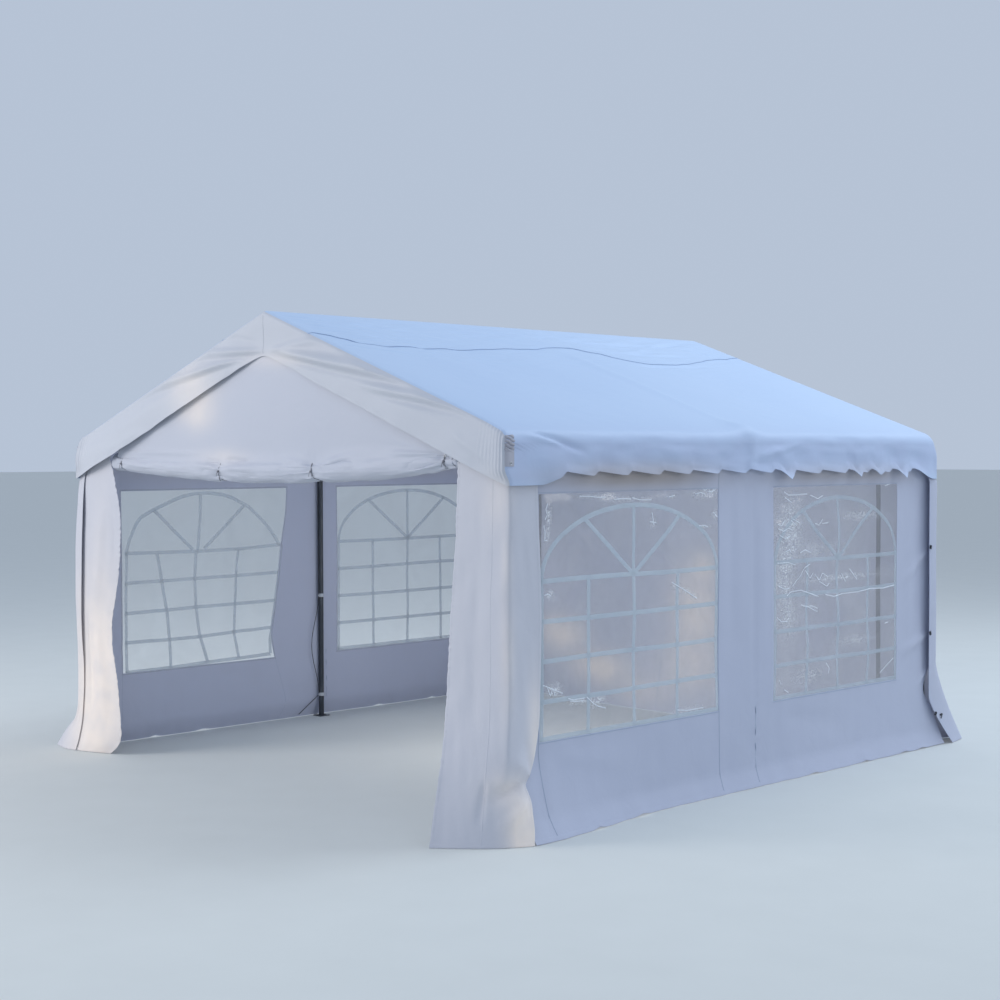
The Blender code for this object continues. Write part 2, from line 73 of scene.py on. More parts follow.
# A plain pale floor under an even pale sky, with three large soft lights: cool from above and behind,
# which tints the roof and glints in the window film, and warmer and lower on the gable. A weak round
# one inside stands for the daylight that comes through the cloth.
FLOOR_SIDE = 300.0
FLOOR_COLOUR = (0.72, 0.74, 0.72)
FLOOR_SHADE = (0.68, 0.7, 0.68)
SKY_COLOUR = (0.62, 0.72, 0.88, 1)
SKY_STRENGTH = 0.76
# name: (place, aimed at, side, watts, colour)
SOFT_LIGHTS = {
    "top_light": ((3.5, 5.5, 9.5), (0, 0, 1.5), 7.0, 500, (0.8, 0.9, 1.0)),
    "gable_light": ((-5.5, -9.5, 4.5), (-0.3, -1.8, 1.2), 5.0, 430, (1.0, 0.95, 0.9)),
    "film_light": ((11.0, 8.0, 4.2), (2.0, 0.6, 1.2), 3.2, 110, (1.0, 0.98, 0.95)),
}
INNER_LIGHT_PLACE = (0.2, 0.1, 1.25)
INNER_LIGHT_RADIUS = 0.8
INNER_LIGHT_WATTS = 34
INNER_LIGHT_COLOUR = (1.0, 0.96, 0.9)


def node(tree, kind, feeds=None, **settings):
    """Adds a shader node. feeds gives its inputs, each as a number, a colour or another node's output."""
    made = tree.nodes.new("ShaderNode" + kind)
    for key, value in settings.items():
        setattr(made, key, value)
    for key, value in (feeds or {}).items():
        if isinstance(value, bpy.types.NodeSocket):
            tree.links.new(value, made.inputs[key])
        else:
            made.inputs[key].default_value = value
    return made


def finish_named(name, colour, roughness, metallic=0.0):
    """A new material with these plain values: the material, its node tree, its shader, and the place
    on the piece that its patterns are laid out by."""
    material = bpy.data.materials.new(name)
    material.use_nodes = True
    shader = material.node_tree.nodes["Principled BSDF"]
    shader.inputs["Base Color"].default_value = (*colour, 1)
    shader.inputs["Roughness"].default_value = roughness
    shader.inputs["Metallic"].default_value = metallic
    place = node(material.node_tree, "TexCoord").outputs["Object"]
    return material, material.node_tree, shader, place


def blended(tree, factor, first, second):
    """One colour fading to another by a factor."""
    mix = node(tree, "Mix", data_type="RGBA")
    tree.links.new(factor, mix.inputs["Factor"])
    for socket, value in ((mix.inputs["A"], first), (mix.inputs["B"], second)):
        if isinstance(value, bpy.types.NodeSocket):
            tree.links.new(value, socket)
        else:
            socket.default_value = (*value[:3], 1)
    return mix.outputs["Result"]


def mottled(tree, shader, factor, first, second):
    """Colours a surface in two tones, which a pattern fades from one to the other."""
    tree.links.new(blended(tree, factor, first, second), shader.inputs["Base Color"])


bpy.ops.mesh.primitive_plane_add(size=FLOOR_SIDE)
floor = bpy.context.object
floor.name = "studio_floor"
floor_paint, floor_tree, floor_shader, floor_place = finish_named("pale_floor", FLOOR_COLOUR, 0.85)
grain = node(floor_tree, "TexNoise", {"Vector": floor_place, "Scale": 3.0, "Detail": 4.0})
mottled(floor_tree, floor_shader, grain.outputs["Fac"], FLOOR_SHADE, FLOOR_COLOUR)
floor.data.materials.append(floor_paint)

sky = bpy.data.worlds.new("pale_sky")
sky.use_nodes = True
sky.node_tree.nodes["Background"].inputs["Color"].default_value = SKY_COLOUR
sky.node_tree.nodes["Background"].inputs["Strength"].default_value = SKY_STRENGTH
bpy.context.scene.world = sky
bpy.context.scene.view_settings.view_transform = "Standard"

for light_name, (place, aim, side, watts, colour) in SOFT_LIGHTS.items():
    bpy.ops.object.light_add(type="AREA", location=place)
    light = bpy.context.object
    light.name = light_name
    light.data.shape = "SQUARE"
    light.data.size = side
    light.data.energy = watts
    light.data.color = colour
    light.rotation_euler = (Vector(aim) - Vector(place)).to_track_quat("-Z", "Y").to_euler()

bpy.ops.object.light_add(type="POINT", location=INNER_LIGHT_PLACE)
inner_light = bpy.context.object
inner_light.name = "inner_light"
inner_light.data.shadow_soft_size = INNER_LIGHT_RADIUS
inner_light.data.energy = INNER_LIGHT_WATTS
inner_light.data.color = INNER_LIGHT_COLOUR
inner_light.visible_camera = False

# The frame is round steel tube in dark grey paint, pushed into welded sleeves at every joint. The
# CAD pieces are kept and smoothed, and their paint is streaked along the tube and rubbed at random.
STEEL_COLOUR = (0.045, 0.052, 0.065)
RUBBED_COLOUR = (0.12, 0.13, 0.145)
RUBBED_FROM = 0.52
RUBBED_FULL = 0.8
SMOOTH_ANGLE = math.radians(32)
WELD_GAP = 0.00005
FRAME_WORDS = ("leg_front", "leg_middle", "leg_back", "rafter", "eave_", "ridge_")


def relief(tree, shader, height, strength, distance):
    """Raises a surface by a pattern's values, by this distance at most."""
    bump = node(tree, "Bump", {"Height": height, "Strength": strength, "Distance": distance})
    tree.links.new(bump.outputs["Normal"], shader.inputs["Normal"])


def coated(piece, material):
    """Gives a piece this material alone."""
    piece.data.materials.clear()
    piece.data.materials.append(material)


def steel_paint():
    """Dark paint streaked along the tube, with a faint orange-peel skin."""
    material, tree, shader, place = finish_named("grey_steel_paint", STEEL_COLOUR, 0.38, metallic=0.35)
    streak = node(tree, "Mapping", {"Vector": place, "Scale": (30, 30, 4)})
    streaks = node(tree, "TexNoise", {"Vector": streak.outputs["Vector"], "Scale": 2.0, "Detail": 5.0})
    rubbed = node(tree, "ValToRGB", {"Fac": streaks.outputs["Fac"]})
    rubbed.color_ramp.elements[0].position = RUBBED_FROM
    rubbed.color_ramp.elements[1].position = RUBBED_FULL
    mottled(tree, shader, rubbed.outputs["Color"], STEEL_COLOUR, RUBBED_COLOUR)
    peel = node(tree, "TexNoise", {"Vector": place, "Scale": 420.0, "Detail": 3.0})
    relief(tree, shader, peel.outputs["Fac"], 0.25, 0.0006)
    return material


STEEL = steel_paint()
for name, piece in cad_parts.items():
    if not name.startswith(FRAME_WORDS):
        continue
    coated(piece, STEEL)
    piece.data.shade_smooth()
    weld = piece.modifiers.new("weld", "WELD")
    weld.merge_threshold = WELD_GAP
    split = piece.modifiers.new("sharp_ends", "EDGE_SPLIT")
    split.split_angle = SMOOTH_ANGLE

# Zinc-plated fastenings on the frame: a set screw with a washer on the sleeves of each eave fitting,
# and two peg heads on each foot plate. One of each is modelled and then copied.
SCREW_RADIUS = 0.0065
SCREW_HEIGHT = 0.006
SCREW_EDGE = SCREW_RADIUS * 0.16
WASHER_RADIUS = 0.01
WASHER_HEIGHT = 0.0018
SLEEVE_RADIUS = 0.0215
SCREW_ALONG = 0.095
PEG_RADIUS = 0.0052
PEG_HEAD_RADIUS = 0.011
PEG_HEAD_HEIGHT = 0.005
PEG_EDGE = PEG_HEAD_HEIGHT * 0.35
PEG_OVERLAP = 0.0005
PEG_INSET = 0.015
FOOT_THICKNESS = 0.005


def zinc():
    """Dull plated zinc with its small crystals."""
    material, tree, shader, place = finish_named("zinc_plate", (0.55, 0.57, 0.6), 0.32, metallic=0.85)
    crystals = node(tree, "TexVoronoi", {"Vector": place, "Scale": 260.0}).outputs["Distance"]
    mottled(tree, shader, crystals, (0.46, 0.48, 0.51), (0.66, 0.68, 0.71))
    relief(tree, shader, crystals, 0.2, 0.0003)
    return material


ZINC = zinc()


def joined(parts, name):
    """Joins these objects to one piece and applies its place, so that it sits at the origin."""
    bpy.ops.object.select_all(action="DESELECT")
    for part in parts:
        part.select_set(True)
    bpy.context.view_layer.objects.active = parts[0]
    if len(parts) > 1:
        bpy.ops.object.join()
    bpy.ops.object.transform_apply(location=True, rotation=True, scale=True)
    piece = bpy.context.object
    piece.name = name
    piece.data.name = name
    return piece


def edited(operation):
    """Runs one edit-mode operation on the whole of the active object."""
    bpy.ops.object.mode_set(mode="EDIT")
    bpy.ops.mesh.select_all(action="SELECT")
    operation()
    bpy.ops.object.mode_set(mode="OBJECT")


def drum(sides, radius, height, location, edge=0, steps=2, rotation=(0, 0, 0)):
    """A closed cylinder about a place, its edges rounded by edge in steps."""
    bpy.ops.mesh.primitive_cylinder_add(
        vertices=sides, radius=radius, depth=height, location=location, rotation=rotation
    )
    if edge:
        edited(lambda: bpy.ops.mesh.bevel(offset=edge, segments=steps))
    return bpy.context.object


def screw_head():
    """A hexagon head with a bevelled top on a round washer, standing on the XY plane."""
    washer = drum(20, WASHER_RADIUS, WASHER_HEIGHT, (0, 0, WASHER_HEIGHT / 2))
    head = drum(6, SCREW_RADIUS, SCREW_HEIGHT, (0, 0, WASHER_HEIGHT + SCREW_HEIGHT / 2), SCREW_EDGE)
    return joined([washer, head], "screw_head")


def finished(piece, material):
    """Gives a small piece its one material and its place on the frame."""
    coated(piece, material)
    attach(piece, "root")


def copies(pattern, places, name, material):
    """Copies one modelled piece to these matrices, as a single new piece, and removes the pattern."""
    made = []
    for place in places:
        copy = pattern.copy()
        copy.data = pattern.data.copy()
        bpy.context.scene.collection.objects.link(copy)
        copy.matrix_world = place
        made.append(copy)
    bpy.data.objects.remove(pattern)
    finished(joined(made, name), material)


def standing(place, outward):
    """A matrix that stands a piece modelled on the XY plane at a place, its top facing outward."""
    turn = Vector(outward).to_track_quat("Z", "Y").to_matrix().to_4x4()
    return Matrix.Translation(place) @ turn


LEG = {side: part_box(f"leg_middle_{side}") for side in ("left", "right")}
LEG_X = {side: (low.x + high.x) / 2 for side, (low, high) in LEG.items()}
LEG_Y = {row: sum(c.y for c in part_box(f"leg_{row}_right")) / 2 for row in ("front", "middle", "back")}
FRAME_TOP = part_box("eave_tube_front_right")
FRAME_Z = (FRAME_TOP[0].z + FRAME_TOP[1].z) / 2

screw_places = []
for side, x in LEG_X.items():
    inward = -math.copysign(1, x)
    for row, y in LEG_Y.items():
        screw_places.append(standing((x + inward * SLEEVE_RADIUS, y, FRAME_Z - SCREW_ALONG), (inward, 0, 0)))
        for way in {"front": (1,), "middle": (-1, 1), "back": (-1,)}[row]:
            screw_places.append(standing((x, y + way * SCREW_ALONG, FRAME_Z - SLEEVE_RADIUS), (0, 0, -1)))
copies(screw_head(), screw_places, "sleeve_screws", ZINC)


def peg_head():
    """The rounded head and short shank of a ground peg, standing on the XY plane."""
    head = drum(24, PEG_HEAD_RADIUS, PEG_HEAD_HEIGHT, (0, 0, PEG_HEAD_HEIGHT / 2), PEG_EDGE, 3)
    shank = drum(16, PEG_RADIUS, FOOT_THICKNESS, (0, 0, -FOOT_THICKNESS / 2 + PEG_OVERLAP))
    return joined([head, shank], "peg_head")


peg_places = []
for side in ("left", "right"):
    for row in ("front", "middle", "back"):
        low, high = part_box(f"leg_{row}_{side}")
        for corner in (low, high):
            inset = PEG_INSET if corner is low else -PEG_INSET
            peg_places.append(Matrix.Translation((corner.x + inset, corner.y + inset, FOOT_THICKNESS)))
copies(peg_head(), peg_places, "peg_heads", ZINC)

# The roof cover is one white coated sheet over the frame, with its ridge and eaves rounded by the
# tubes under it. It sags a little in each bay and rises over the middle rafter.
RIDGE_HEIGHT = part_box("roof_sheet_right")[1].z
HALF_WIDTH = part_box("roof_sheet_right")[1].x
HALF_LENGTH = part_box("roof_sheet_right")[1].y
EAVE_HEIGHT = 2.063
SLOPE = math.atan2(RIDGE_HEIGHT - EAVE_HEIGHT, HALF_WIDTH)
EAVE_ROUND = 0.076
EDGE_ROUND = 0.03
RIDGE_ROUND = 0.012
SHEET_THICKNESS = 0.0016
THREADS = 120.0
SEWN_GAP = 0.00002
ROOF_COLUMNS = (76, 40, 10)
ROOF_ROWS = 116
WRINKLED = 0.86
BAY_SAG = 0.02
RAFTER_LIFT = 0.01
RAFTER_SPREAD = 0.045
KNUCKLE_LIFT = 0.022
KNUCKLE_SPREAD = 0.11
KNUCKLE_REACH = 0.1
DRAWN_WAVE = 0.004
BROAD_WAVE = 0.004
FINE_WAVE = 0.0014
BILLOW = 0.01
LOOSE_FROM_EDGE = 0.12
FAST_TO_EDGE = 0.012
PULL_STARTS = 0.08
PULL_FADES = 0.2
TUBE_RADIUS = 0.019
RAFTER_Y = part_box("rafter_back_right")[1].y - TUBE_RADIUS
# the cover's two tones are painted blue, for the sky that its white cloth reflects
COVER_SKY_TINT = (0.545, 0.67, 0.86)
COVER_SHADE = (0.49, 0.62, 0.83)
# the cover's tone painted in shade where it turns down at the eaves
PAINTED_EAVE_SHADE_TONE = (0.49, 0.575, 0.775)
CLOTH_GLOSS = 0.35
CLOTH_ROUGHNESS = 0.52
RIM_ANGLE = math.radians(60)

SLOPE_LENGTH = math.hypot(HALF_WIDTH, RIDGE_HEIGHT - EAVE_HEIGHT)
EAVE_TURN = math.pi / 2 - SLOPE
EAVE_BACK = EAVE_ROUND * math.tan(EAVE_TURN / 2)
STRAIGHT = SLOPE_LENGTH - EAVE_BACK
LIP = STRAIGHT + EAVE_ROUND * EAVE_TURN
LIP_HEIGHT = EAVE_HEIGHT - EAVE_BACK
CORNER_END = HALF_LENGTH - EDGE_ROUND + EDGE_ROUND * math.pi / 4

# corners drawn outwards: (x, y, x shift, y shift, reach, height below which it fades, height above)
CORNER_PULLS = (
    (-2.0, -2.0, -0.026, -0.026, 0.35, 0.0, 1.91), (2.0, 2.0, 0.02, 0.04, 0.35, 0.0, 1.91),
    (-2.0, 2.0, -0.02, 0.04, 0.35, 0.0, 1.91), (2.0, -2.0, 0.002, -0.036, 0.13, 1.8, 2.0),
)
# wrinkles of the cover: (from (distance down the slope, y), to, half widths at either end, height)
COVER_FOLDS = (
    ((0.06, -2.1), (0.34, -0.6), (0.01, 0.016), -0.007),
    ((0.13, -2.1), (0.42, -0.8), (0.01, 0.018), -0.008),
    ((0.21, -2.1), (0.48, -0.9), (0.01, 0.018), -0.008), ((0.3, -2.1), (0.56, -0.8), (0.01, 0.02), -0.008),
    ((0.4, -2.1), (0.64, -0.95), (0.01, 0.02), -0.008), ((0.5, -2.1), (0.74, -1.0), (0.01, 0.02), -0.007),
    ((0.6, -2.1), (0.84, -1.1), (0.01, 0.02), -0.006), ((0.1, 0.05), (0.44, 1.2), (0.014, 0.026), -0.011),
    ((0.28, 0.2), (0.2, 1.6), (0.014, 0.028), -0.01), ((0.12, 1.5), (0.54, 0.5), (0.014, 0.026), 0.01),
    ((0.44, 0.35), (0.46, 1.65), (0.014, 0.026), -0.011), ((0.34, 0.9), (0.08, 1.9), (0.014, 0.026), -0.01),
    ((0.74, 0.4), (0.66, 1.6), (0.014, 0.03), -0.01), ((0.2, 1.4), (0.56, 1.95), (0.012, 0.024), -0.008),
)
# soft folds at and under the eaves, the first three of them near the front corners
EDGE_FOLDS = (
    ((2.09, -1.86), (2.24, -1.36), (0.01, 0.024), -0.014),
    ((2.12, -1.9), (2.19, -1.55), (0.012, 0.016), 0.006),
    ((2.4, -1.84), (2.31, -1.26), (0.01, 0.022), -0.01), ((2.33, 1.15), (2.4, 1.48), (0.01, 0.016), -0.01),
    ((2.3, -0.7), (2.35, 0.3), (0.016, 0.03), -0.007), ((2.16, 0.55), (2.32, -0.35), (0.02, 0.04), 0.01),
)
# where the cover turns steeply down at its eaves, it is painted darker and less blue, as shade
TURNED_DOWN_SHADE_SPOTS = (((2.0, 0.0, 1.92), (0.6, 9.0, 0.12), 1.6), ((-2.0, 0.0, 1.92), (0.6, 9.0, 0.12), 1.6))
# where the hanging edges' shadow is painted on the walls, high up under the eaves
PAINTED_SHADOW_TONE = (0.4, 0.355, 0.335)
EAVE_SHADOW_SPOTS = (
    ((1.98, -1.3, 1.83), (0.06, 0.45, 0.075), 0.75), ((1.98, -0.7, 1.83), (0.06, 0.45, 0.075), 0.75),
    ((1.98, 0.6, 1.82), (0.06, 0.4, 0.06), 0.55), ((1.98, 1.3, 1.82), (0.06, 0.45, 0.06), 0.6),
    ((-1.98, 0.0, 1.83), (0.06, 1.6, 0.07), 0.5),
)
# where sunlight is painted on the cloth as warm, bright patches: (x, y, z), reach each way, strength
SUNLIT_SPOTS = (
    ((-1.78, -2.0, 0.58), (0.3, 0.25, 0.54), 1.0), ((-1.8, -2.02, 0.1), (0.26, 0.25, 0.3), 0.6),
    ((-1.75, -2.0, 1.4), (0.1, 0.25, 0.4), 0.12), ((2.08, -1.96, 0.06), (0.08, 0.105, 0.19), 1.5),
    ((1.99, -2.03, 0.28), (0.1, 0.12, 0.09), 0.45), ((2.0, -1.8, 0.52), (0.06, 0.06, 0.26), 0.75),
    ((1.98, -2.0, 0.95), (0.05, 0.05, 0.26), 0.45), ((1.9, -1.99, 1.72), (0.11, 0.06, 0.14), 0.3),
    ((1.96, -2.0, 1.4), (0.04, 0.04, 0.16), 0.35), ((-0.7, -2.0, 2.37), (0.22, 0.06, 0.12), 0.5),
    ((0.14, -2.0, 2.5), (0.3, 0.06, 0.05), 0.3), ((-0.68, -1.98, 2.21), (0.17, 0.05, 0.1), 0.62),
    ((-0.43, -1.99, 1.94), (0.24, 0.05, 0.05), 0.3), ((-1.34, 1.98, 0.5), (0.25, 0.08, 0.14), 1.0),
    ((-0.85, 1.98, 0.26), (0.3, 0.08, 0.13), 1.3), ((-0.42, 1.98, 0.1), (0.26, 0.08, 0.12), 1.3),
    ((0.03, 1.98, 0.78), (0.24, 0.08, 0.3), 0.8), ((0.02, 1.98, 0.3), (0.32, 0.08, 0.22), 0.7),
    ((0.1, 1.98, 1.12), (0.12, 0.08, 0.1), 0.5),
)


def sheeting(name, colour, shade, painted_tone=None, where="painted_sunlight"):
    """White coated cloth: a fine weave in the sheet's own directions, soft handling marks, and tone
    that drifts from one place to another. Its last tone, when given, is painted light or shade, laid
    on where the named attribute marks the sheet, and a painted shadow darkens it under the eaves."""
    material, tree, shader, place = finish_named(name, colour, CLOTH_ROUGHNESS)
    drift = node(tree, "TexNoise", {"Vector": place, "Scale": 0.9, "Detail": 3.0})
    tone = blended(tree, drift.outputs["Fac"], colour, shade)
    # the painted light: warm sunlit patches on most sheets, darker eave shade on the roof cover
    if painted_tone:
        marked = node(tree, "Attribute", attribute_name=where)
        dapple = node(tree, "TexNoise", {"Vector": place, "Scale": 6.0, "Detail": 2.0})
        thinned = node(tree, "MapRange", {"Value": dapple.outputs["Fac"], "From Min": 0.3, "From Max": 0.6,
                                          "To Min": 0.75, "To Max": 1.0})
        share = node(tree, "Math", {0: marked.outputs["Fac"], 1: thinned.outputs["Result"]},
                     operation="MULTIPLY", use_clamp=True)
        tone = blended(tree, share.outputs["Value"], tone, painted_tone)
    # a painted shadow, darker and brownish, where the walls lie under the eaves
    painted_shadow = node(tree, "Attribute", attribute_name="painted_shadow")
    tone = blended(tree, painted_shadow.outputs["Fac"], tone, PAINTED_SHADOW_TONE)
    tree.links.new(tone, shader.inputs["Base Color"])
    cloth_map = node(tree, "UVMap", uv_map="cloth").outputs["UV"]
    warp, weft = (node(tree, "TexWave", {"Vector": cloth_map, "Scale": THREADS}, bands_direction=way)
                  for way in ("X", "Y"))
    weave = node(tree, "Math", {0: warp.outputs["Fac"], 1: weft.outputs["Fac"]}, operation="MULTIPLY")
    fine = node(tree, "Bump", {"Height": weave.outputs["Value"], "Strength": 0.18, "Distance": 0.0004})
    handled = node(tree, "TexNoise", {"Vector": place, "Scale": 7.0, "Detail": 6.0, "Distortion": 0.8})
    marks = node(
        tree, "Bump",
        {"Height": handled.outputs["Fac"], "Strength": 0.2, "Distance": 0.012,
         "Normal": fine.outputs["Normal"]},
    )
    tree.links.new(marks.outputs["Normal"], shader.inputs["Normal"])
    shader.inputs["Specular IOR Level"].default_value = CLOTH_GLOSS
    return material


# the roof cloth: blue with painted sky reflection, and painted darker where it turns down
COVER = sheeting("roof_sheeting", COVER_SKY_TINT, COVER_SHADE, PAINTED_EAVE_SHADE_TONE, "hanging")


def spaced(low, high, count):
    """Even stations from low to high, with this many steps between them."""
    return np.linspace(low, high, count + 1)


def stepped(start, *runs):
    """Stations from start through runs, each given as its end and its number of even steps."""
    lines = [np.array([start], float)]
    for end, count in runs:
        lines.append(spaced(lines[-1][-1], end, count)[1:])
    return np.concatenate(lines)


def points_of(piece):
    """The places of a mesh's points, a row for each."""
    flat = np.empty(len(piece.data.vertices) * 3)
    piece.data.vertices.foreach_get("co", flat)
    return flat.reshape(-1, 3)


def spotted(piece, attribute, spots):
    """Stores on each point of a piece how far it lies in these soft spots, as an attribute."""
    points = points_of(piece)
    total = np.zeros(len(points))
    for centre, reach, strength in spots:
        total = total + strength * np.exp(-(((points - centre) / reach) ** 2).sum(1))
    stored = piece.data.attributes.new(attribute, "FLOAT", "POINT")
    stored.data.foreach_set("value", np.clip(total, 0, 1))


def cloth(name, us, vs, place, material, thickness=SHEET_THICKNESS, openings=(),
          closed=False):
    """A sheet from a grid whose lines are at these distances across and up it, in metres. place puts
    each point where it hangs. openings are (low u, high u, low v, high v) left out of it. A closed
    one is a tube, sewn along its first and last lines."""
    us, vs = np.asarray(us, float), np.asarray(vs, float)
    bpy.ops.object.select_all(action="DESELECT")
    bpy.ops.mesh.primitive_grid_add(x_subdivisions=len(us) - 1, y_subdivisions=len(vs) - 1, size=2)
    piece = bpy.context.object
    piece.name = name
    piece.data.name = name
    share = (points_of(piece)[:, :2] + 1) / 2
    u = us[np.rint(share[:, 0] * (len(us) - 1)).astype(int)]
    v = vs[np.rint(share[:, 1] * (len(vs) - 1)).astype(int)]
    piece.data.vertices.foreach_set("co", np.asarray(place(u, v), float).ravel())
    corners = np.empty(len(piece.data.loops), np.int32)
    piece.data.loops.foreach_get("vertex_index", corners)
    piece.data.uv_layers[0].name = "cloth"
    piece.data.uv_layers["cloth"].uv.foreach_set("vector", np.stack((u, v), 1)[corners].ravel())
    piece.data.materials.append(material)
    piece.data.shade_smooth()
    if openings:
        bpy.context.tool_settings.mesh_select_mode = (False, False, True)
        piece.data.vertices.foreach_set("select", np.zeros(len(piece.data.vertices), bool))
        piece.data.edges.foreach_set("select", np.zeros(len(piece.data.edges), bool))
        for face in piece.data.polygons:
            ids = list(face.vertices)
            at_u, at_v = u[ids].mean(), v[ids].mean()
            face.select = any(a < at_u < b and c < at_v < d for a, b, c, d in openings)
        bpy.ops.object.mode_set(mode="EDIT")
        bpy.ops.mesh.delete(type="FACE")
        bpy.ops.object.mode_set(mode="OBJECT")
    if closed:
        edited(lambda: bpy.ops.mesh.remove_doubles(threshold=SEWN_GAP))
    # where painted sunlight, painted shadow and painted eave shade fall on the sheet
    spotted(piece, "painted_sunlight", SUNLIT_SPOTS)
    spotted(piece, "painted_shadow", EAVE_SHADOW_SPOTS)
    spotted(piece, "hanging", TURNED_DOWN_SHADE_SPOTS)
    wall = piece.modifiers.new("thickness", "SOLIDIFY")
    wall.thickness = thickness
    wall.offset = -1
    bpy.ops.object.modifier_apply(modifier="thickness")
    bpy.ops.object.shade_smooth_by_angle(angle=RIM_ANGLE)
    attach(piece, "root")
    return piece


def eased(value, low, high):
    """0 below low, 1 above high, and a smooth rise between them."""
    share = np.clip((value - low) / (high - low), 0, 1)
    return share * share * (3 - 2 * share)


def ripple(u, v, size, seed, stretch=1.0):
    """Gentle unevenness between about -1 and 1, in waves of this size, longer along v by stretch."""
    draw = np.random.default_rng(seed)
    total = np.zeros_like(u)
    for _ in range(9):
        turn = draw.uniform(0, math.tau)
        pace = math.tau / size * draw.uniform(0.65, 1.5)
        across = u * math.cos(turn) + v / stretch * math.sin(turn)
        total = total + np.sin(pace * across + draw.uniform(0, math.tau))
    return total / 4.5


def folds(u, v, lines):
    """Drag folds, each from one (u, v) point to another, with its half width at either end and its
    height. A fold fades out at both ends."""
    total = np.zeros_like(u)
    for start, end, widths, height in lines:
        du, dv = end[0] - start[0], end[1] - start[1]
        length = math.hypot(du, dv)
        along = np.clip(((u - start[0]) * du + (v - start[1]) * dv) / length ** 2, 0, 1)
        off_u = u - start[0] - along * du
        off_v = v - start[1] - along * dv
        width = widths[0] + (widths[1] - widths[0]) * along
        taper = eased(along, 0, 0.25) * (1 - eased(along, 0.55, 1))
        total = total + height * taper * np.exp(-(off_u ** 2 + off_v ** 2) / width ** 2)
    return total


def corner_round(along):
    """(place along a side, step back from its plane) near either end of the tent, so that two
    sheets meet half way round the corner."""
    past = np.clip(np.abs(along) - (HALF_LENGTH - EDGE_ROUND), 0, None) / EDGE_ROUND
    place = np.where(past > 0, HALF_LENGTH - EDGE_ROUND + EDGE_ROUND * np.sin(past), np.abs(along))
    return np.sign(along) * place, EDGE_ROUND * (1 - np.cos(past))


def bay(y):
    """0 over the rafters and 1 half way between them."""
    return np.sin(np.pi * np.clip(np.abs(y) / RAFTER_Y, 0, 1)) ** 2


def cover_shape(distance, y):
    """How far the cover stands off its plain shape, by the distance down from the ridge."""
    side = np.sign(distance)
    s = np.abs(distance)
    down = np.clip(s / STRAIGHT, 0, 1)
    sag = -BAY_SAG * np.sin(np.pi * down ** 0.8) * bay(y)
    rafter = RAFTER_LIFT * np.exp(-(y / RAFTER_SPREAD) ** 2) * eased(s, 0.3, 0.9)
    knuckle = KNUCKLE_LIFT * np.exp(-(y / KNUCKLE_SPREAD) ** 2)
    knuckle = knuckle * np.exp(-((s - STRAIGHT + 0.02) / KNUCKLE_REACH) ** 2)
    drawn = DRAWN_WAVE * ripple(y, s + 5 * side, 0.3, 3, 0.22) * (1 - eased(s, 0.25, 1.1))
    broad = BROAD_WAVE * ripple(y + 9 * side, s, 0.9, 4) * eased(s, 0.1, 0.5)
    fine = FINE_WAVE * ripple(y, s * 2.5 + 3 * side, 0.22, 5) * (0.4 + bay(y))
    hang = eased(s, LIP, LIP + 0.1)
    billow = BILLOW * ripple(y + 4 * side, s, 0.85, 6) * hang
    free = 1 - eased(np.abs(y), HALF_LENGTH - LOOSE_FROM_EDGE, HALF_LENGTH - FAST_TO_EDGE)
    flat = (drawn + broad + fine + folds(s, y, COVER_FOLDS)) * (1 - hang) * eased(s, 0, 0.1)
    return (sag + rafter + knuckle + flat + billow + folds(s, y, EDGE_FOLDS)) * free


def pulled(points):
    """Shifts points near the corners outwards, at the heights where each corner is drawn."""
    x, y, z = points.T
    shift = np.zeros((len(points), 2))
    for at_x, at_y, x_shift, y_shift, reach, low, high in CORNER_PULLS:
        near = np.exp(-((x - at_x) ** 2 + (y - at_y) ** 2) / reach ** 2)
        near = near * eased(z, low, low + PULL_STARTS) * (1 - eased(z, high, high + PULL_FADES))
        shift = shift + near[:, None] * (x_shift, y_shift)
    return points + np.column_stack((shift, np.zeros(len(points))))


def cover_place(distance, along):
    """The cover's outer face: down the slope, round the eave and straight down past it."""
    side = np.where(distance < 0, -1.0, 1.0)
    s = np.abs(distance)
    y, back = corner_round(along)
    on_slope = np.minimum(s, STRAIGHT)
    turned = np.clip((s - STRAIGHT) / EAVE_ROUND, 0, EAVE_TURN)
    hung = np.clip(s - LIP, 0, None)
    lean = SLOPE + turned
    x = on_slope * math.cos(SLOPE) + EAVE_ROUND * (np.sin(lean) - math.sin(SLOPE))
    z = RIDGE_HEIGHT - on_slope * math.sin(SLOPE) - EAVE_ROUND * (math.cos(SLOPE) - np.cos(lean)) - hung
    peak = (np.sqrt(s ** 2 + RIDGE_ROUND ** 2) - s) * math.sin(SLOPE)
    out = cover_shape(distance, y) - back
    return pulled(np.stack((side * (x + out * np.sin(lean)), y, z - peak + out * np.cos(lean)), 1))


half_lines = stepped(0, (WRINKLED, ROOF_COLUMNS[0]), (STRAIGHT, ROOF_COLUMNS[1]), (LIP, ROOF_COLUMNS[2]))[1:]
across_lines = np.concatenate((-half_lines[::-1], [0], half_lines))
edge_lines = spaced(HALF_LENGTH - EDGE_ROUND, CORNER_END, 4)


def with_corners(lines):
    """The grid lines of one side, with those that go round its two corners added."""
    return np.concatenate((-edge_lines[:0:-1], lines, edge_lines[1:]))


along_lines = with_corners(spaced(-HALF_LENGTH + EDGE_ROUND, HALF_LENGTH - EDGE_ROUND, ROOF_ROWS))
roof_cover = cloth("roof_cover", across_lines, along_lines, cover_place, COVER)
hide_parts("roof_sheet_left", "roof_sheet_right")

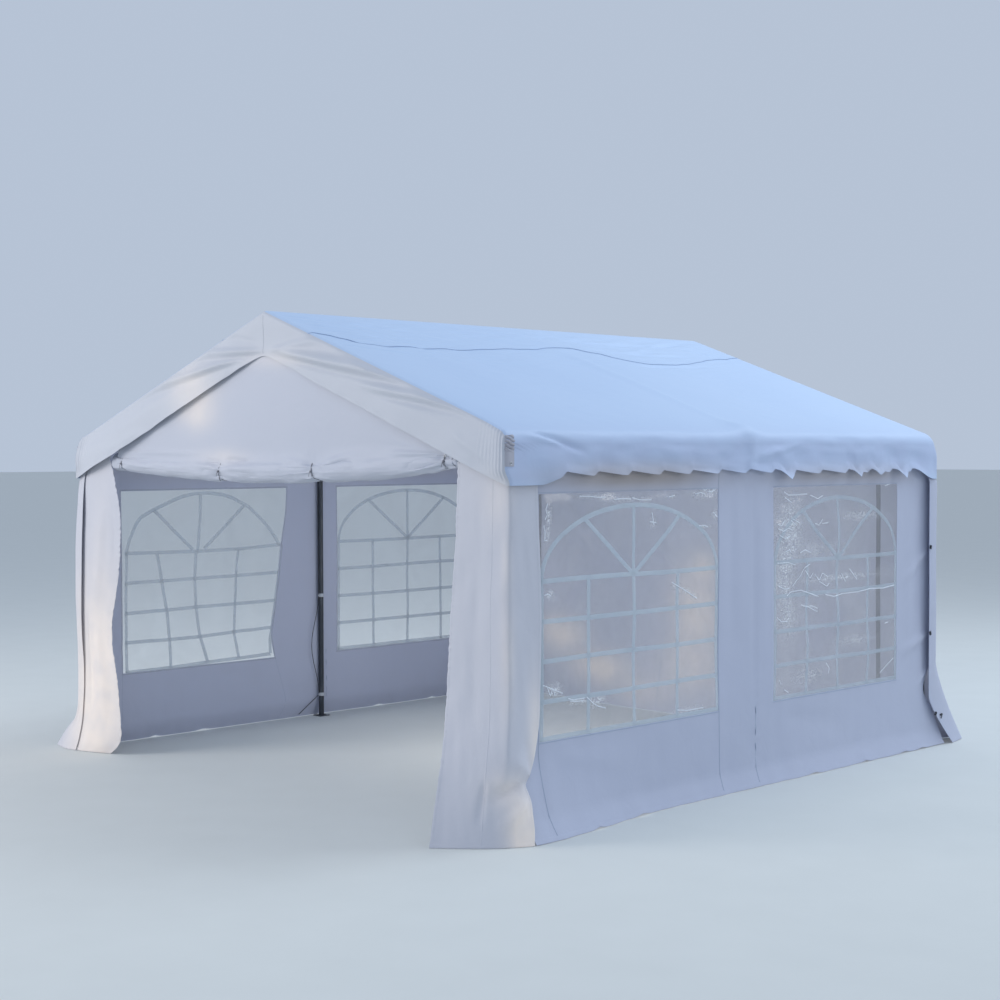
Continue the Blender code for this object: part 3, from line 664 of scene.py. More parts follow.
# Welded lap seams run the length of the cover, one on each slope near the ridge. Each is a doubled
# band of the sheet itself, stitched along its lower edge, and it hangs in two shallow swags.
SEAM_SWAGS = (
    (-2.01, 0.42), (-1.94, 0.445), (-1.73, 0.574), (-1.19, 0.562), (-0.66, 0.537), (-0.26, 0.5),
    (0.04, 0.44), (0.29, 0.502), (0.6, 0.635), (0.9, 0.655), (1.2, 0.61), (1.6, 0.5), (2.01, 0.42),
)
SEAM_WIDTH = 0.022
SEAM_LIFT = 0.001
SEAM_STEPS = 60
TAPE_THICKNESS = 0.001
TAPE_STEP = 0.025
TAPE_CROWN = 0.0006
THREAD_WIDTH = 0.0045
THREAD_LIFT = 0.0028
THREAD = sheeting("seam_thread", (0.34, 0.44, 0.62), (0.38, 0.48, 0.66))


def curved(stations, at, column=1):
    """Values on a smooth curve through stations, each a place followed by its values, of which column
    is the one wanted."""
    table = np.array(stations, float)
    places, values = table[:, 0], table[:, column]
    slopes = np.gradient(values, places)
    at = np.clip(at, places[0], places[-1])
    low = np.clip(np.searchsorted(places, at, side="right") - 1, 0, len(places) - 2)
    span = places[low + 1] - places[low]
    t = (at - places[low]) / span
    turn = t * t * (3 - 2 * t)
    start, end = t * (1 - t) ** 2 * span, t * t * (t - 1) * span
    return values[low] * (1 - turn) + values[low + 1] * turn + slopes[low] * start + slopes[low + 1] * end


def curved_pair(stations, at, columns=(1, 2)):
    """Two values on the smooth curves through stations, a row for each place."""
    return np.stack([curved(stations, at, column) for column in columns], 1)


def stood_off(place, u, v, lift):
    """Points lifted off a sheet's outer face by this much."""
    step = 0.002
    across = place(u + step, v) - place(u - step, v)
    up = place(u, v + step) - place(u, v - step)
    normal = np.cross(across, up)
    return place(u, v) + normal / np.linalg.norm(normal, axis=1, keepdims=True) * np.reshape(lift, (-1, 1))


def tape(name, place, line, width, material, lift=SEAM_LIFT, step=TAPE_STEP, slot="cover_sheet",
         thickness=TAPE_THICKNESS):
    """A band sewn flat on a sheet, along a line of (u, v) points on it."""
    points = np.array(line, float)
    reach = np.concatenate(([0], np.cumsum(np.linalg.norm(np.diff(points, axis=0), axis=1))))
    stations = spaced(0, reach[-1], max(2, round(reach[-1] / step)))

    def on_line(s):
        return [np.interp(s, reach, points[:, axis]) for axis in (0, 1)]

    def on_sheet(s, t):
        near = 0.01
        u, v = on_line(s)
        du, dv = (ahead - behind for ahead, behind in zip(on_line(s + near), on_line(s - near)))
        long = np.hypot(du, dv)
        crown = 1 - eased(np.abs(t), width * 0.38, width * 0.52)
        return stood_off(place, u - dv / long * t, v + du / long * t, lift + TAPE_CROWN * crown)

    return cloth(name, stations, spaced(-width / 2, width / 2, 4), on_sheet, material, thickness)


seams = []
for way in (-1, 1):
    line = [(way * curved(SEAM_SWAGS, y), y) for y in spaced(-CORNER_END, CORNER_END, SEAM_STEPS)]
    seams.append(tape("seam", cover_place, line, SEAM_WIDTH, COVER))
    line = [(s + way * SEAM_WIDTH / 2, y) for s, y in line]
    seams.append(tape("thread", cover_place, line, THREAD_WIDTH, THREAD, lift=THREAD_LIFT))
joined(seams, "roof_seams")

# The side edges of the cover hang below the eave and are cut in shallow scallops between plain
# corners. Each scallop rises steeply and falls slowly, and its bound hem flips outwards.
SCALLOP_TOPS = (
    -1.85, -1.588, -1.327, -1.071, -0.796, -0.544, -0.271, -0.025, 0.22, 0.437, 0.717, 0.999, 1.251, 1.491,
    1.705, 1.95,
)
SCALLOP_HEIGHT = 0.024
SCALLOP_RISE = 0.2
PLAIN_CORNERS = (-1.59, -1.76, 1.73, 1.93)
GATHER = 0.0075
GATHER_STEP = 0.02
GATHER_REACH = 0.085
CORNER_DROP = LIP_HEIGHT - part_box("valance_right")[0].z
SCALLOP_DROP = CORNER_DROP - 0.044
BACK_DROP = 0.016
BACK_BAY_DROP = 0.01
HEM_BAND = 0.048
HEM_OUT = 0.018
HEM_WAVE = 0.008
PLAIN_DEPTH = 0.58
VALANCE_ROWS = (12, 30)
VALANCE_COLUMNS = 300
VALANCE_DEPTH = CORNER_DROP
# places along the edge where the hem has curled over to a point: (y, half width, extra drop, outwards)
CURLS = ((0.339, 0.075, 0.04, 0.024), (1.09, 0.05, 0.036, 0.024), (1.319, 0.06, 0.032, 0.024),
         (1.59, 0.055, 0.046, 0.028))


def plain_share(y):
    """1 at the plain corners and 0 between them."""
    front, front_end, back, back_end = PLAIN_CORNERS
    return eased(-y, -front, -front_end) + eased(y, back, back_end)


def scalloped_drop(y):
    """How far the cut edge hangs below the eave."""
    phase = (np.interp(y, SCALLOP_TOPS, range(len(SCALLOP_TOPS))) + SCALLOP_RISE) % 1
    fall = np.clip((phase - SCALLOP_RISE) / (1 - SCALLOP_RISE), 0, 1)
    rise = np.where(phase < SCALLOP_RISE, eased(phase, 0, SCALLOP_RISE), 1 - eased(fall, -0.25, 1.05) * 1.01)
    scalloped = SCALLOP_DROP - SCALLOP_HEIGHT * rise + BACK_BAY_DROP * eased(y, 0.1, 0.5)
    corner = plain_share(y)
    drop = scalloped * (1 - corner) + CORNER_DROP * corner + BACK_DROP * eased(y, 1.7, 1.95)
    for at, half, extra, _ in CURLS:
        drop = drop + extra * np.clip(1 - np.abs(y - at) / half, 0, 1) ** 1.3
    return drop


def valance_place(way):
    """Puts a (u, v) point of one hanging edge in place. u runs rightwards seen from outside, and v
    from 0 at the cut edge up to VALANCE_DEPTH under the eave."""
    def place(u, v):
        along = way * u
        y, _ = corner_round(along)
        drop = scalloped_drop(y)
        v = v / VALANCE_DEPTH
        s = LIP + drop * (1 - v)
        points = cover_place(way * s, along)
        above_hem = (s - LIP - drop + HEM_BAND) / HEM_BAND
        flip = np.clip(above_hem, 0, 1) ** 1.2
        wave = 0.5 - 0.5 * np.cos(math.tau * np.interp(y, SCALLOP_TOPS, range(len(SCALLOP_TOPS))))
        out = HEM_OUT * flip * (1 - plain_share(y)) * (0.6 + 0.4 * wave)
        hang = eased(1 - v, 0, 0.5)
        out = out + HEM_WAVE * ripple(along, v * 0.3, 0.34, 12) * hang
        out = out * (1 - eased(np.abs(y), HALF_LENGTH - 0.08, HALF_LENGTH - FAST_TO_EDGE))
        from_corner = CORNER_END + along
        z = points[:, 2]
        drawn = np.exp(-from_corner / GATHER_REACH) * eased(z, 1.955, 1.985) * (1 - eased(z, 2.035, 2.06))
        out = out + GATHER * np.sin(math.tau * (z + 0.5 * from_corner) / GATHER_STEP) * drawn
        for at, half, _, outwards in CURLS:
            out = out + outwards * flip * np.clip(1 - np.abs(y - at) / half, 0, 1)
        points[:, 0] = points[:, 0] + way * out
        return points
    return place


valance_lines = with_corners(spaced(-HALF_LENGTH + EDGE_ROUND, HALF_LENGTH - EDGE_ROUND, VALANCE_COLUMNS))
valance_levels = VALANCE_DEPTH * stepped(0, (PLAIN_DEPTH, VALANCE_ROWS[0]), (1, VALANCE_ROWS[1]))
WAYS = {"left": -1, "right": 1}
for side, way in WAYS.items():
    hung_edge = cloth(f"hanging_edge_{side}", valance_lines, valance_levels, valance_place(way), COVER)
    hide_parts(f"valance_{side}")

# A band of even height hangs under each gable edge of the cover, hemmed along its lower edge. Its
# weight drags on the peak and on the rafter's ends, which draws long soft folds across it.
BAND_DEPTH = 0.267
BAND_ROWS = 24
BAND_COLUMNS = 262
BAND_HEM = 0.02
HEM_LAY = {"lift": 0.0003, "thickness": 0.0005}
BAND_PLEAT = 0.0055
PLEAT_STEP = 0.027
PEAK_ROUND = 0.05
BAND_NARROWED = 0.075
BAND_TOP = 0.9
# how far the band stands off at its left and right half: at the front, then at the back
BAND_STANDS = {-1: (0.024, 0.014), 1: (0.012, 0.014)}
BAND_WAVE = 0.004
BAND_BEND = 0.003
BAND_END = 1.78
BAND_END_COLUMNS = 48
BAND_WHITE = (0.6, 0.62, 0.68)
BAND_SHADE = (0.55, 0.58, 0.65)
# the colour of painted sunlight on the cloth
PAINTED_SUNLIGHT_TONE = (0.98, 0.87, 0.79)
# folds of the front band, then of the back one: (from (x, z), to, half widths at either end, height)
FRONT_BAND_FOLDS = (
    ((0.02, 2.568), (1.5, 2.312), (0.016, 0.054), 0.034),
    ((0.02, 2.532), (1.66, 2.235), (0.014, 0.036), -0.014),
    ((0.8, 2.345), (1.95, 2.158), (0.02, 0.038), 0.022), ((0.9, 2.29), (2.05, 2.1), (0.016, 0.03), -0.012),
    ((0.02, 2.548), (0.62, 2.61), (0.012, 0.034), 0.012),
    ((0.06, 2.552), (-0.8, 2.566), (0.012, 0.03), 0.02),
    ((0.06, 2.53), (-0.9, 2.516), (0.012, 0.024), -0.01),
    ((-0.12, 2.522), (-1.42, 2.33), (0.012, 0.04), 0.024),
    ((-0.16, 2.5), (-1.5, 2.262), (0.012, 0.036), -0.012),
    ((-0.03, 2.6), (-0.42, 2.655), (0.014, 0.024), -0.007),
    ((-1.15, 2.12), (-1.85, 1.93), (0.03, 0.04), 0.006), ((1.55, 2.08), (1.98, 1.86), (0.02, 0.03), 0.006),
)
BACK_BAND_FOLDS = (
    ((0.03, 2.556), (1.45, 2.318), (0.014, 0.046), 0.026),
    ((0.05, 2.515), (1.5, 2.26), (0.014, 0.034), -0.012),
    ((-0.03, 2.55), (-1.3, 2.35), (0.014, 0.044), 0.022),
    ((-0.05, 2.515), (-1.3, 2.31), (0.014, 0.03), -0.01),
    ((0.02, 2.54), (-0.6, 2.56), (0.012, 0.03), -0.008),
)


def gable_line(x):
    """Height of the cover's outer face over a gable, at this distance from the ridge."""
    far = np.clip(np.abs(x) - (HALF_WIDTH - EAVE_ROUND), 0, EAVE_ROUND)
    start = EAVE_ROUND * math.sin(SLOPE)
    on_slope = RIDGE_HEIGHT - np.abs(x) * math.tan(SLOPE)
    round_part = LIP_HEIGHT + np.sqrt(np.clip(EAVE_ROUND ** 2 - far ** 2, 0, None))
    return np.where(far > start, round_part, on_slope)


def band_edge(x):
    """Height of the band's lower edge, with its point at the peak eased."""
    low = EAVE_HEIGHT - BAND_DEPTH
    peak = RIDGE_HEIGHT - BAND_DEPTH
    soft = np.sqrt(x ** 2 + PEAK_ROUND ** 2) - PEAK_ROUND
    return peak - soft * (peak - low) / (HALF_WIDTH - BAND_NARROWED)


def band_place(way, drag, seed):
    """Puts a (u, v) point of a gable band in place. way is -1 at the front and 1 at the back."""
    def place(u, v):
        x, corner_back = corner_round(-way * u)
        share = v / BAND_DEPTH
        rolled = np.clip((share - BAND_TOP) / 0.1, 0, 1) * math.pi / 4
        low = np.maximum(band_edge(x), EAVE_HEIGHT - BAND_DEPTH)
        high = gable_line(x) - EDGE_ROUND / math.cos(SLOPE)
        straight = low + (high - low) * np.clip(share / BAND_TOP, 0, 1)
        z = straight + EDGE_ROUND / math.cos(SLOPE) * np.sin(rolled)
        back = EDGE_ROUND * (1 - np.cos(rolled)) + corner_back
        free = 1 - eased(share, 0.45, BAND_TOP)
        ends = 1 - eased(np.abs(x), 1.72, 1.97)
        left, right = BAND_STANDS[way]
        stand = left * free * ends * eased(-x, 0.0, 0.5) + right * free * ends * eased(x, 0.1, 0.6)
        soft = folds(x, z, drag) * (1 - eased(share, 0.86, 0.98))
        uneven = BAND_WAVE * ripple(x, z, 0.55, seed, 0.5) * (1 - eased(share, 0.6, BAND_TOP)) * ends
        bend = BAND_BEND * ripple(x, z * 0.4, 0.16, seed + 1) * (1 - eased(share, 0.0, 0.25)) * ends
        from_corner = CORNER_END - np.abs(u)
        reach = np.exp(-from_corner / GATHER_REACH) * (1 - np.exp(-from_corner / 0.008))
        reach = reach * eased(share, 0, 0.2)
        pleats = BAND_PLEAT * np.sin(math.tau * from_corner / PLEAT_STEP + 9 * z) * reach
        out = stand + soft + uneven + bend + pleats - back
        return pulled(np.stack((x, way * (HALF_LENGTH + out), z), 1))
    return place


BAND = sheeting("gable_sheeting", BAND_WHITE, BAND_SHADE, PAINTED_SUNLIGHT_TONE)
pleat_lines = spaced(BAND_END, HALF_WIDTH - EDGE_ROUND, BAND_END_COLUMNS)[1:]
band_columns = with_corners(np.concatenate((
    -pleat_lines[::-1], spaced(-BAND_END, BAND_END, BAND_COLUMNS), pleat_lines,
)))
band_levels = stepped(0, (BAND_TOP, BAND_ROWS), (1, 5)) * BAND_DEPTH
BANDS = {"front": band_place(-1, FRONT_BAND_FOLDS, 21), "back": band_place(1, BACK_BAND_FOLDS, 31)}
for end, place in BANDS.items():
    band = cloth(f"hanging_band_{end}", band_columns, band_levels, place, BAND)
    hem_line = [(at, BAND_HEM / 2) for at in (-CORNER_END, 0, CORNER_END)]
    hem = tape("hem", place, hem_line, BAND_HEM, BAND, step=0.01, **HEM_LAY)
    band = joined([band, hem], f"hanging_band_{end}")
    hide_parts(f"gable_band_{end}")
PEAK_THREAD = sheeting("peak_thread", (0.42, 0.44, 0.5), (0.48, 0.5, 0.56))
tape("peak_seam", BANDS["front"], [(0, 0.012), (0, BAND_DEPTH * BAND_TOP)], 0.004, PEAK_THREAD,
     lift=0.0003, step=0.012)

# At each front corner the band runs on round the edge as a short tab on the side, with an eyelet
# pressed in near its lower end, through which the cover is tied down.
TAB_HEIGHTS = (1.892, 2.05)
TAB_REACH = 0.058
TAB_LIFT = 0.0042
TAB_THICKNESS = 0.0024
TAB_PUCKER = 0.0012
PUCKER_STEP = 0.0155
EYELET_RADIUS = 0.0062
EYELET_WIRE = 0.0024
EYELET_UP = 0.016
EYELET_BORE = 0.002
EYELET_EDGE = 0.0004
EYELET_ALONG = 0.62
LAID = (0, math.pi / 2, 0)


def hoop(radius, wire, steps, location, rotation=(0, 0, 0)):
    """A ring of round wire about a place, in steps round it and round its wire."""
    bpy.ops.mesh.primitive_torus_add(
        major_radius=radius, minor_radius=wire, major_segments=steps[0], minor_segments=steps[1],
        location=location, rotation=rotation,
    )
    return bpy.context.object


def edge_level(z):
    """The hanging edge's v at this height, at a corner."""
    return VALANCE_DEPTH * (1 - (LIP_HEIGHT - z) / CORNER_DROP)


TAB = sheeting("tab_sheeting", (0.5, 0.49, 0.54), (0.44, 0.44, 0.5))


def tab_lift(v):
    """The tab lies flat in its lower half, and elastic gathers the upper half."""
    z = LIP_HEIGHT + (v / VALANCE_DEPTH - 1) * CORNER_DROP
    gathered = eased(z, 1.962, 1.985) * (1 - eased(z, 2.042, 2.05))
    return TAB_LIFT + (TAB_PUCKER * np.sin(math.tau * z / PUCKER_STEP) - 0.001) * gathered


tabs, eyelets = [], []
for way in (-1, 1):
    edge = valance_place(way)
    outer, inner = sorted((-way * CORNER_END, -way * (HALF_LENGTH - TAB_REACH)))
    tabs.append(cloth(
        "tab", spaced(outer, inner, 12), spaced(*map(edge_level, TAB_HEIGHTS), 64),
        lambda u, v: stood_off(edge, u, v, tab_lift(v)), TAB, thickness=TAB_THICKNESS,
    ))
    at = (np.array([-way * (HALF_LENGTH - TAB_REACH * EYELET_ALONG)]),
          np.array([edge_level(TAB_HEIGHTS[0] + EYELET_UP)]))
    spot = stood_off(edge, *at, np.array([TAB_LIFT + 0.001]))[0]
    eyelets.append(hoop(EYELET_RADIUS, EYELET_WIRE, (24, 8), spot, LAID))
    bore = drum(24, EYELET_RADIUS, EYELET_BORE, spot, EYELET_EDGE, 1, LAID)
    bore.data.materials.append(STEEL)
    eyelets.append(bore)
joined(tabs, "corner_tabs")
for eyelet in eyelets:
    if not eyelet.data.materials:
        eyelet.data.materials.append(ZINC)
        eyelet.data.shade_smooth()
eyelets = joined(eyelets, "tab_eyelets")
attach(eyelets, "root")

# The closed part of the front wall: a gable sheet whose lower part is the door itself, rolled up
# to the inside. It runs down over the face of the roll and under it, and four ties pinch the roll.
PANEL_HALF = 1.6
PANEL_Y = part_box("gable_panel_front")[0].y
ROLL_Y = -1.932
ROLL_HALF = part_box("rolled_door")[1].x
ROLL_SPAN = (-1.63, 1.6)
ROLL_SAG = 0.0575
ROLL_ENDS = (1.907, 1.93)
ROLL_RADIUS = 0.074
TIE_AT = (-1.53, -0.452, 0.425, 1.497)
TIE_RADIUS = (0.048, 0.063, 0.06, 0.043)
TIE_REACH = (0.024, 0.045, 0.06, 0.06)
WRAP_START = math.radians(58)
WRAP_END = math.radians(238)
PANEL_COLUMNS = 215
WRAP_ROWS = 30
PANEL_ROWS = ((0.2, 12), (1, 28))
PANEL_BLEND = 0.09
PANEL_INSET = 0.03
PANEL_UNDER = 0.012
PANEL_BELLY = 0.012
PANEL_WAVE = 0.004
ROLL_THINS = (0.014, 0.016)
ROLL_GATHER = 0.0068
ROLL_WAVES = (0.0035, 0.002)
# folds that the ties draw in the sheet, over the roll and above it: (from (x, z), to, widths, height)
PANEL_FOLDS = (
    ((-1.5, 1.968), (-0.5, 1.962), (0.01, 0.016), 0.007),
    ((-1.48, 1.93), (-1.05, 1.9), (0.008, 0.02), -0.008),
    ((-1.48, 1.89), (-1.1, 1.872), (0.008, 0.018), 0.006),
    ((-0.44, 1.835), (-0.66, 1.862), (0.008, 0.016), -0.014),
    ((-0.43, 1.9), (-0.62, 1.915), (0.008, 0.018), -0.01),
    ((-0.41, 1.925), (-0.08, 1.902), (0.008, 0.016), -0.014),
    ((-0.4, 1.85), (-0.02, 1.822), (0.008, 0.018), -0.01),
    ((-0.44, 1.88), (-0.8, 1.895), (0.01, 0.03), 0.008), ((-0.4, 1.88), (0.02, 1.87), (0.01, 0.03), 0.008),
    ((0.49, 1.862), (0.82, 1.925), (0.008, 0.026), -0.022),
    ((0.5, 1.835), (0.86, 1.815), (0.008, 0.018), -0.012),
    ((0.42, 1.865), (0.1, 1.858), (0.008, 0.018), -0.016),
    ((0.42, 1.835), (0.08, 1.806), (0.008, 0.018), -0.01),
    ((0.42, 1.895), (0.08, 1.93), (0.01, 0.03), 0.01), ((0.48, 1.905), (1.0, 1.96), (0.012, 0.04), 0.01),
    ((1.48, 1.93), (1.18, 1.87), (0.008, 0.024), -0.026),
    ((1.47, 1.955), (1.0, 1.962), (0.008, 0.026), 0.014),
    ((1.48, 1.898), (1.12, 1.842), (0.008, 0.016), 0.01),
    ((1.45, 1.965), (0.95, 2.07), (0.012, 0.05), 0.007),
)


def roll_line(x):
    """Height of the roll's centre. It hangs between its two ends."""
    share = np.clip(x / (2 * ROLL_HALF) + 0.5, 0, 1)
    return ROLL_ENDS[0] + (ROLL_ENDS[1] - ROLL_ENDS[0]) * share - ROLL_SAG * 4 * share * (1 - share)


def roll_radius(x, angle):
    """Radius of the roll's outer face, pinched at each tie, with gathers that run out from it."""
    radius = np.full_like(x, ROLL_RADIUS) - ROLL_THINS[0] * eased(-x, 0.3, 1.4)
    radius = radius - ROLL_THINS[1] * eased(x, 0.9, 1.5)
    for at, tied, reach in zip(TIE_AT, TIE_RADIUS, TIE_REACH):
        near = np.exp(-np.abs((x - at) / reach) ** 1.5)
        radius = radius + (tied - radius) * near
        pleats = np.sin(7 * angle + 9 * at) + 0.6 * np.sin(12 * angle - 4 * at)
        gather = ROLL_GATHER * pleats * np.exp(-np.abs(x - at) / (1.2 * reach))
        radius = radius + gather * (1 - np.exp(-((x - at) / 0.012) ** 2))
    broad, fine = ROLL_WAVES
    return radius + (broad * ripple(x, angle * 0.16, 0.35, 41, 0.6) + fine * ripple(x, angle * 0.4, 0.12, 42))


def roll_point(x, angle, inside=0.0):
    """(y, z) on the roll's face. The angle goes from its top over the front and under it."""
    radius = roll_radius(x, angle) - inside
    return ROLL_Y - radius * np.sin(angle), roll_line(x) + radius * np.cos(angle)


WRAP = ROLL_RADIUS * (WRAP_END - WRAP_START)


def panel_place(u, v):
    """v runs from 0 under the roll, round its front to WRAP, and then up to WRAP + 1 at the roof."""
    x = u
    angle = WRAP_END - (WRAP_END - WRAP_START) * np.clip(v / WRAP, 0, 1)
    y, z = roll_point(x, angle)
    top = gable_line(x) - PANEL_UNDER
    rise = np.clip(v - WRAP, 0, None)
    height = (top - z) * rise
    belly = np.sin(np.pi * np.clip(rise, 0, 1)) * np.cos(x / PANEL_HALF * math.pi / 2)
    flat_y = PANEL_Y - PANEL_BELLY * belly
    lean = 1 - np.clip(1 - height / PANEL_BLEND, 0, 1) ** 2
    y = y * (1 - lean) + flat_y * lean
    z = z + height
    soft = folds(x, z, PANEL_FOLDS) * eased(-y, -ROLL_Y, -ROLL_Y + 0.03)
    free = eased(height, 0.03, 0.15) * (1 - eased(rise, 0.7, 1.0))
    soft = soft + PANEL_WAVE * ripple(x, z, 0.75, 51) * free
    return np.stack((x, y - soft, z), 1)


PANEL = sheeting("front_sheeting", (0.58, 0.6, 0.68), (0.54, 0.57, 0.66), PAINTED_SUNLIGHT_TONE)
panel_lines = np.concatenate((spaced(0, WRAP, WRAP_ROWS), WRAP + stepped(0, *PANEL_ROWS)[1:]))
panel_half = PANEL_HALF - PANEL_INSET
panel = cloth("front_gable_sheet", spaced(-panel_half, panel_half, PANEL_COLUMNS), panel_lines, panel_place,
              PANEL)
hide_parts("gable_panel_front")

# The rolled-up door inside that sheet is a loose bundle of the same cloth. It sags between its ends,
# where its coils bulge out and show.
ROLL_COLUMNS = 215
ROLL_STEPS = 56
COIL_TURNS = 5
ROLL_BULGE = 0.034
ROLL_CLOSES = 0.06
COIL_HEIGHT = 0.006
ROLL_INSIDE = 0.0032


def roll_place(u, v):
    """v is the angle forwards from behind the roll's top. Past either end the coils bulge and close."""
    x = np.clip(u, *ROLL_SPAN)
    past = np.abs(u - x) / ROLL_CLOSES
    angle = -v
    y, z = roll_point(x, angle, ROLL_INSIDE)
    coil = COIL_HEIGHT * np.sin(COIL_TURNS * math.tau * past + angle) * np.clip(past * 6, 0, 1)
    shrink = 1 - past
    y = ROLL_Y + (y - ROLL_Y) * shrink
    z = roll_line(x) + (z - roll_line(x)) * shrink
    bulge = ROLL_BULGE * (1 - shrink ** 2)
    return np.stack((x + np.sign(u) * (bulge - coil * shrink), y, z), 1)


end_lines = spaced(0, ROLL_CLOSES * 0.99, 22)[1:]
roll_columns = np.concatenate((
    ROLL_SPAN[0] - end_lines[::-1], spaced(*ROLL_SPAN, ROLL_COLUMNS), ROLL_SPAN[1] + end_lines,
))
roll = cloth("door_roll", roll_columns, spaced(0, math.tau, ROLL_STEPS), roll_place, PANEL, closed=True)
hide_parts("rolled_door")

# Four ties hold the rolled door: a thin cord twice round the roll, knotted in front with two short
# ends. The right-hand one runs through a zinc ring that hangs from the corner of the strip.
TIE_CORD = 0.0026
TIE_TURNS = 2
TIE_STEPS = 36
TIE_PITCH = 0.007
TIE_LEAN = (0.0, 0.045, -0.02, 0.012)
KNOT_ANGLE = math.radians(100)
KNOT_RADIUS = TIE_CORD * 2.4
KNOT_SHAPE = (1.25, 0.9, 1.0)
TIE_END = 0.03
TIE_SPREAD = 0.011
KNOT_OUT = 0.003
CORD_ROUNDNESS = 2


def cord_finish(name, dark, light, lay=900.0):
    """Braided cord: light strands wound across dark ones, which fray a little."""
    material, tree, shader, place = finish_named(name, dark, 0.82)
    strands = node(tree, "TexWave", {"Vector": place, "Scale": lay, "Distortion": 1.5},
                   bands_direction="DIAGONAL")
    mottled(tree, shader, strands.outputs["Fac"], dark, light)
    relief(tree, shader, strands.outputs["Fac"], 0.5, 0.0004)
    return material


DARK_CORD = cord_finish("dark_braid", (0.03, 0.032, 0.04), (0.085, 0.09, 0.105))


def cord_line(points, radius, name):
    """A cord drawn as one curve through these points, made a mesh."""
    curve = bpy.data.curves.new(name, "CURVE")
    curve.dimensions = "3D"
    curve.bevel_depth = radius
    curve.bevel_resolution = CORD_ROUNDNESS
    curve.use_fill_caps = True
    spline = curve.splines.new("POLY")
    spline.points.add(len(points) - 1)
    for point, place in zip(spline.points, points):
        point.co = (*place, 1)
    drawn = bpy.data.objects.new(name, curve)
    bpy.context.scene.collection.objects.link(drawn)
    bpy.ops.object.select_all(action="DESELECT")
    drawn.select_set(True)
    bpy.context.view_layer.objects.active = drawn
    bpy.ops.object.convert(target="MESH")
    piece = bpy.context.object
    piece.data.shade_smooth()
    edited(lambda: bpy.ops.mesh.remove_doubles(threshold=SEWN_GAP))
    return piece


def roll_tie(at, lean):
    """Cord turns laid on the pinched roll, a knot and two ends that fall from it."""
    turns = []
    for step in range(TIE_TURNS * TIE_STEPS + 1):
        angle = KNOT_ANGLE + step / TIE_STEPS * math.tau
        x = at + (step / TIE_STEPS - TIE_TURNS / 2) * TIE_PITCH + lean * math.cos(angle) * 0.5
        y, z = roll_point(np.array([x]), np.array([angle]), -TIE_CORD * 0.6)
        turns.append((x, y[0], z[0]))
    knot_y, knot_z = turns[0][1] - KNOT_OUT, turns[0][2]
    bpy.ops.mesh.primitive_uv_sphere_add(segments=14, ring_count=10, radius=KNOT_RADIUS,
                                         location=(at, knot_y, knot_z))
    bpy.ops.transform.resize(value=KNOT_SHAPE)
    parts = [bpy.context.object, cord_line(turns, TIE_CORD / 2, "turns")]
    bpy.context.view_layer.objects.active = parts[0]
    bpy.ops.object.shade_smooth()
    for way in (-1, 1):
        fall = [(at + way * (0.004 + TIE_SPREAD * s), knot_y - KNOT_OUT * math.sin(3 * s),
                 knot_z - TIE_END * s) for s in spaced(0, 1, 8)]
        parts.append(cord_line(fall, TIE_CORD / 2, "end"))
    return joined(parts, "tie")


GREY_CORD = cord_finish("grey_braid", (0.13, 0.13, 0.15), (0.3, 0.3, 0.33))
ties = joined([roll_tie(at, lean) for at, lean in zip(TIE_AT, TIE_LEAN)], "roll_ties")
finished(ties, GREY_CORD)

RING_RADIUS = 0.011
RING_WIRE = 0.0022
RING_TURN = (math.pi / 2.4, 0.3, 0.2)
ring_place = (TIE_AT[-1] + 0.03, ROLL_Y - 0.05, ROLL_ENDS[1] + 0.02)
ring = joined([hoop(RING_RADIUS, RING_WIRE, (32, 10), ring_place, RING_TURN)], "roll_ring")
ring.data.shade_smooth()
finished(ring, ZINC)

# A strip closes each side of the front opening. It hangs from the rafter, wraps round the corner
# leg on to the side wall, and its loose hem swings out over the ground. On the left the wrap is a
# flap of its own that stands off the strip, with a dark slot between them.
STRIP_FRONT = 0.4
STRIP_SIDE = 0.205
STRIP_HEIGHT = 2.1
STRIP_LEVEL = 1.8
STRIP_ROWS = 132
STRIP_BEND = 0.022
STRIP_SEAM = 0.128
SLOT_FROM_CORNER = 0.08
SLOT_START = 0.045
STRIP_HEM = 0.018
HEM_FOOT = 0.02
HEM_HEAD = 1.98
FOOT_BEND = 0.09
PUCKER_HEIGHT = 0.0042
PUCKER_REACH = 0.026
STRIP_WAVES = (0.0045, 0.0014)
WRAP_DEPTHS = (0.008, 0.012)
WRAP_LIFTS = (0.002, 0.003)
GROUND_GAP = 0.003
COVER_ROOM = 0.028
UNDER_COVER = 0.022
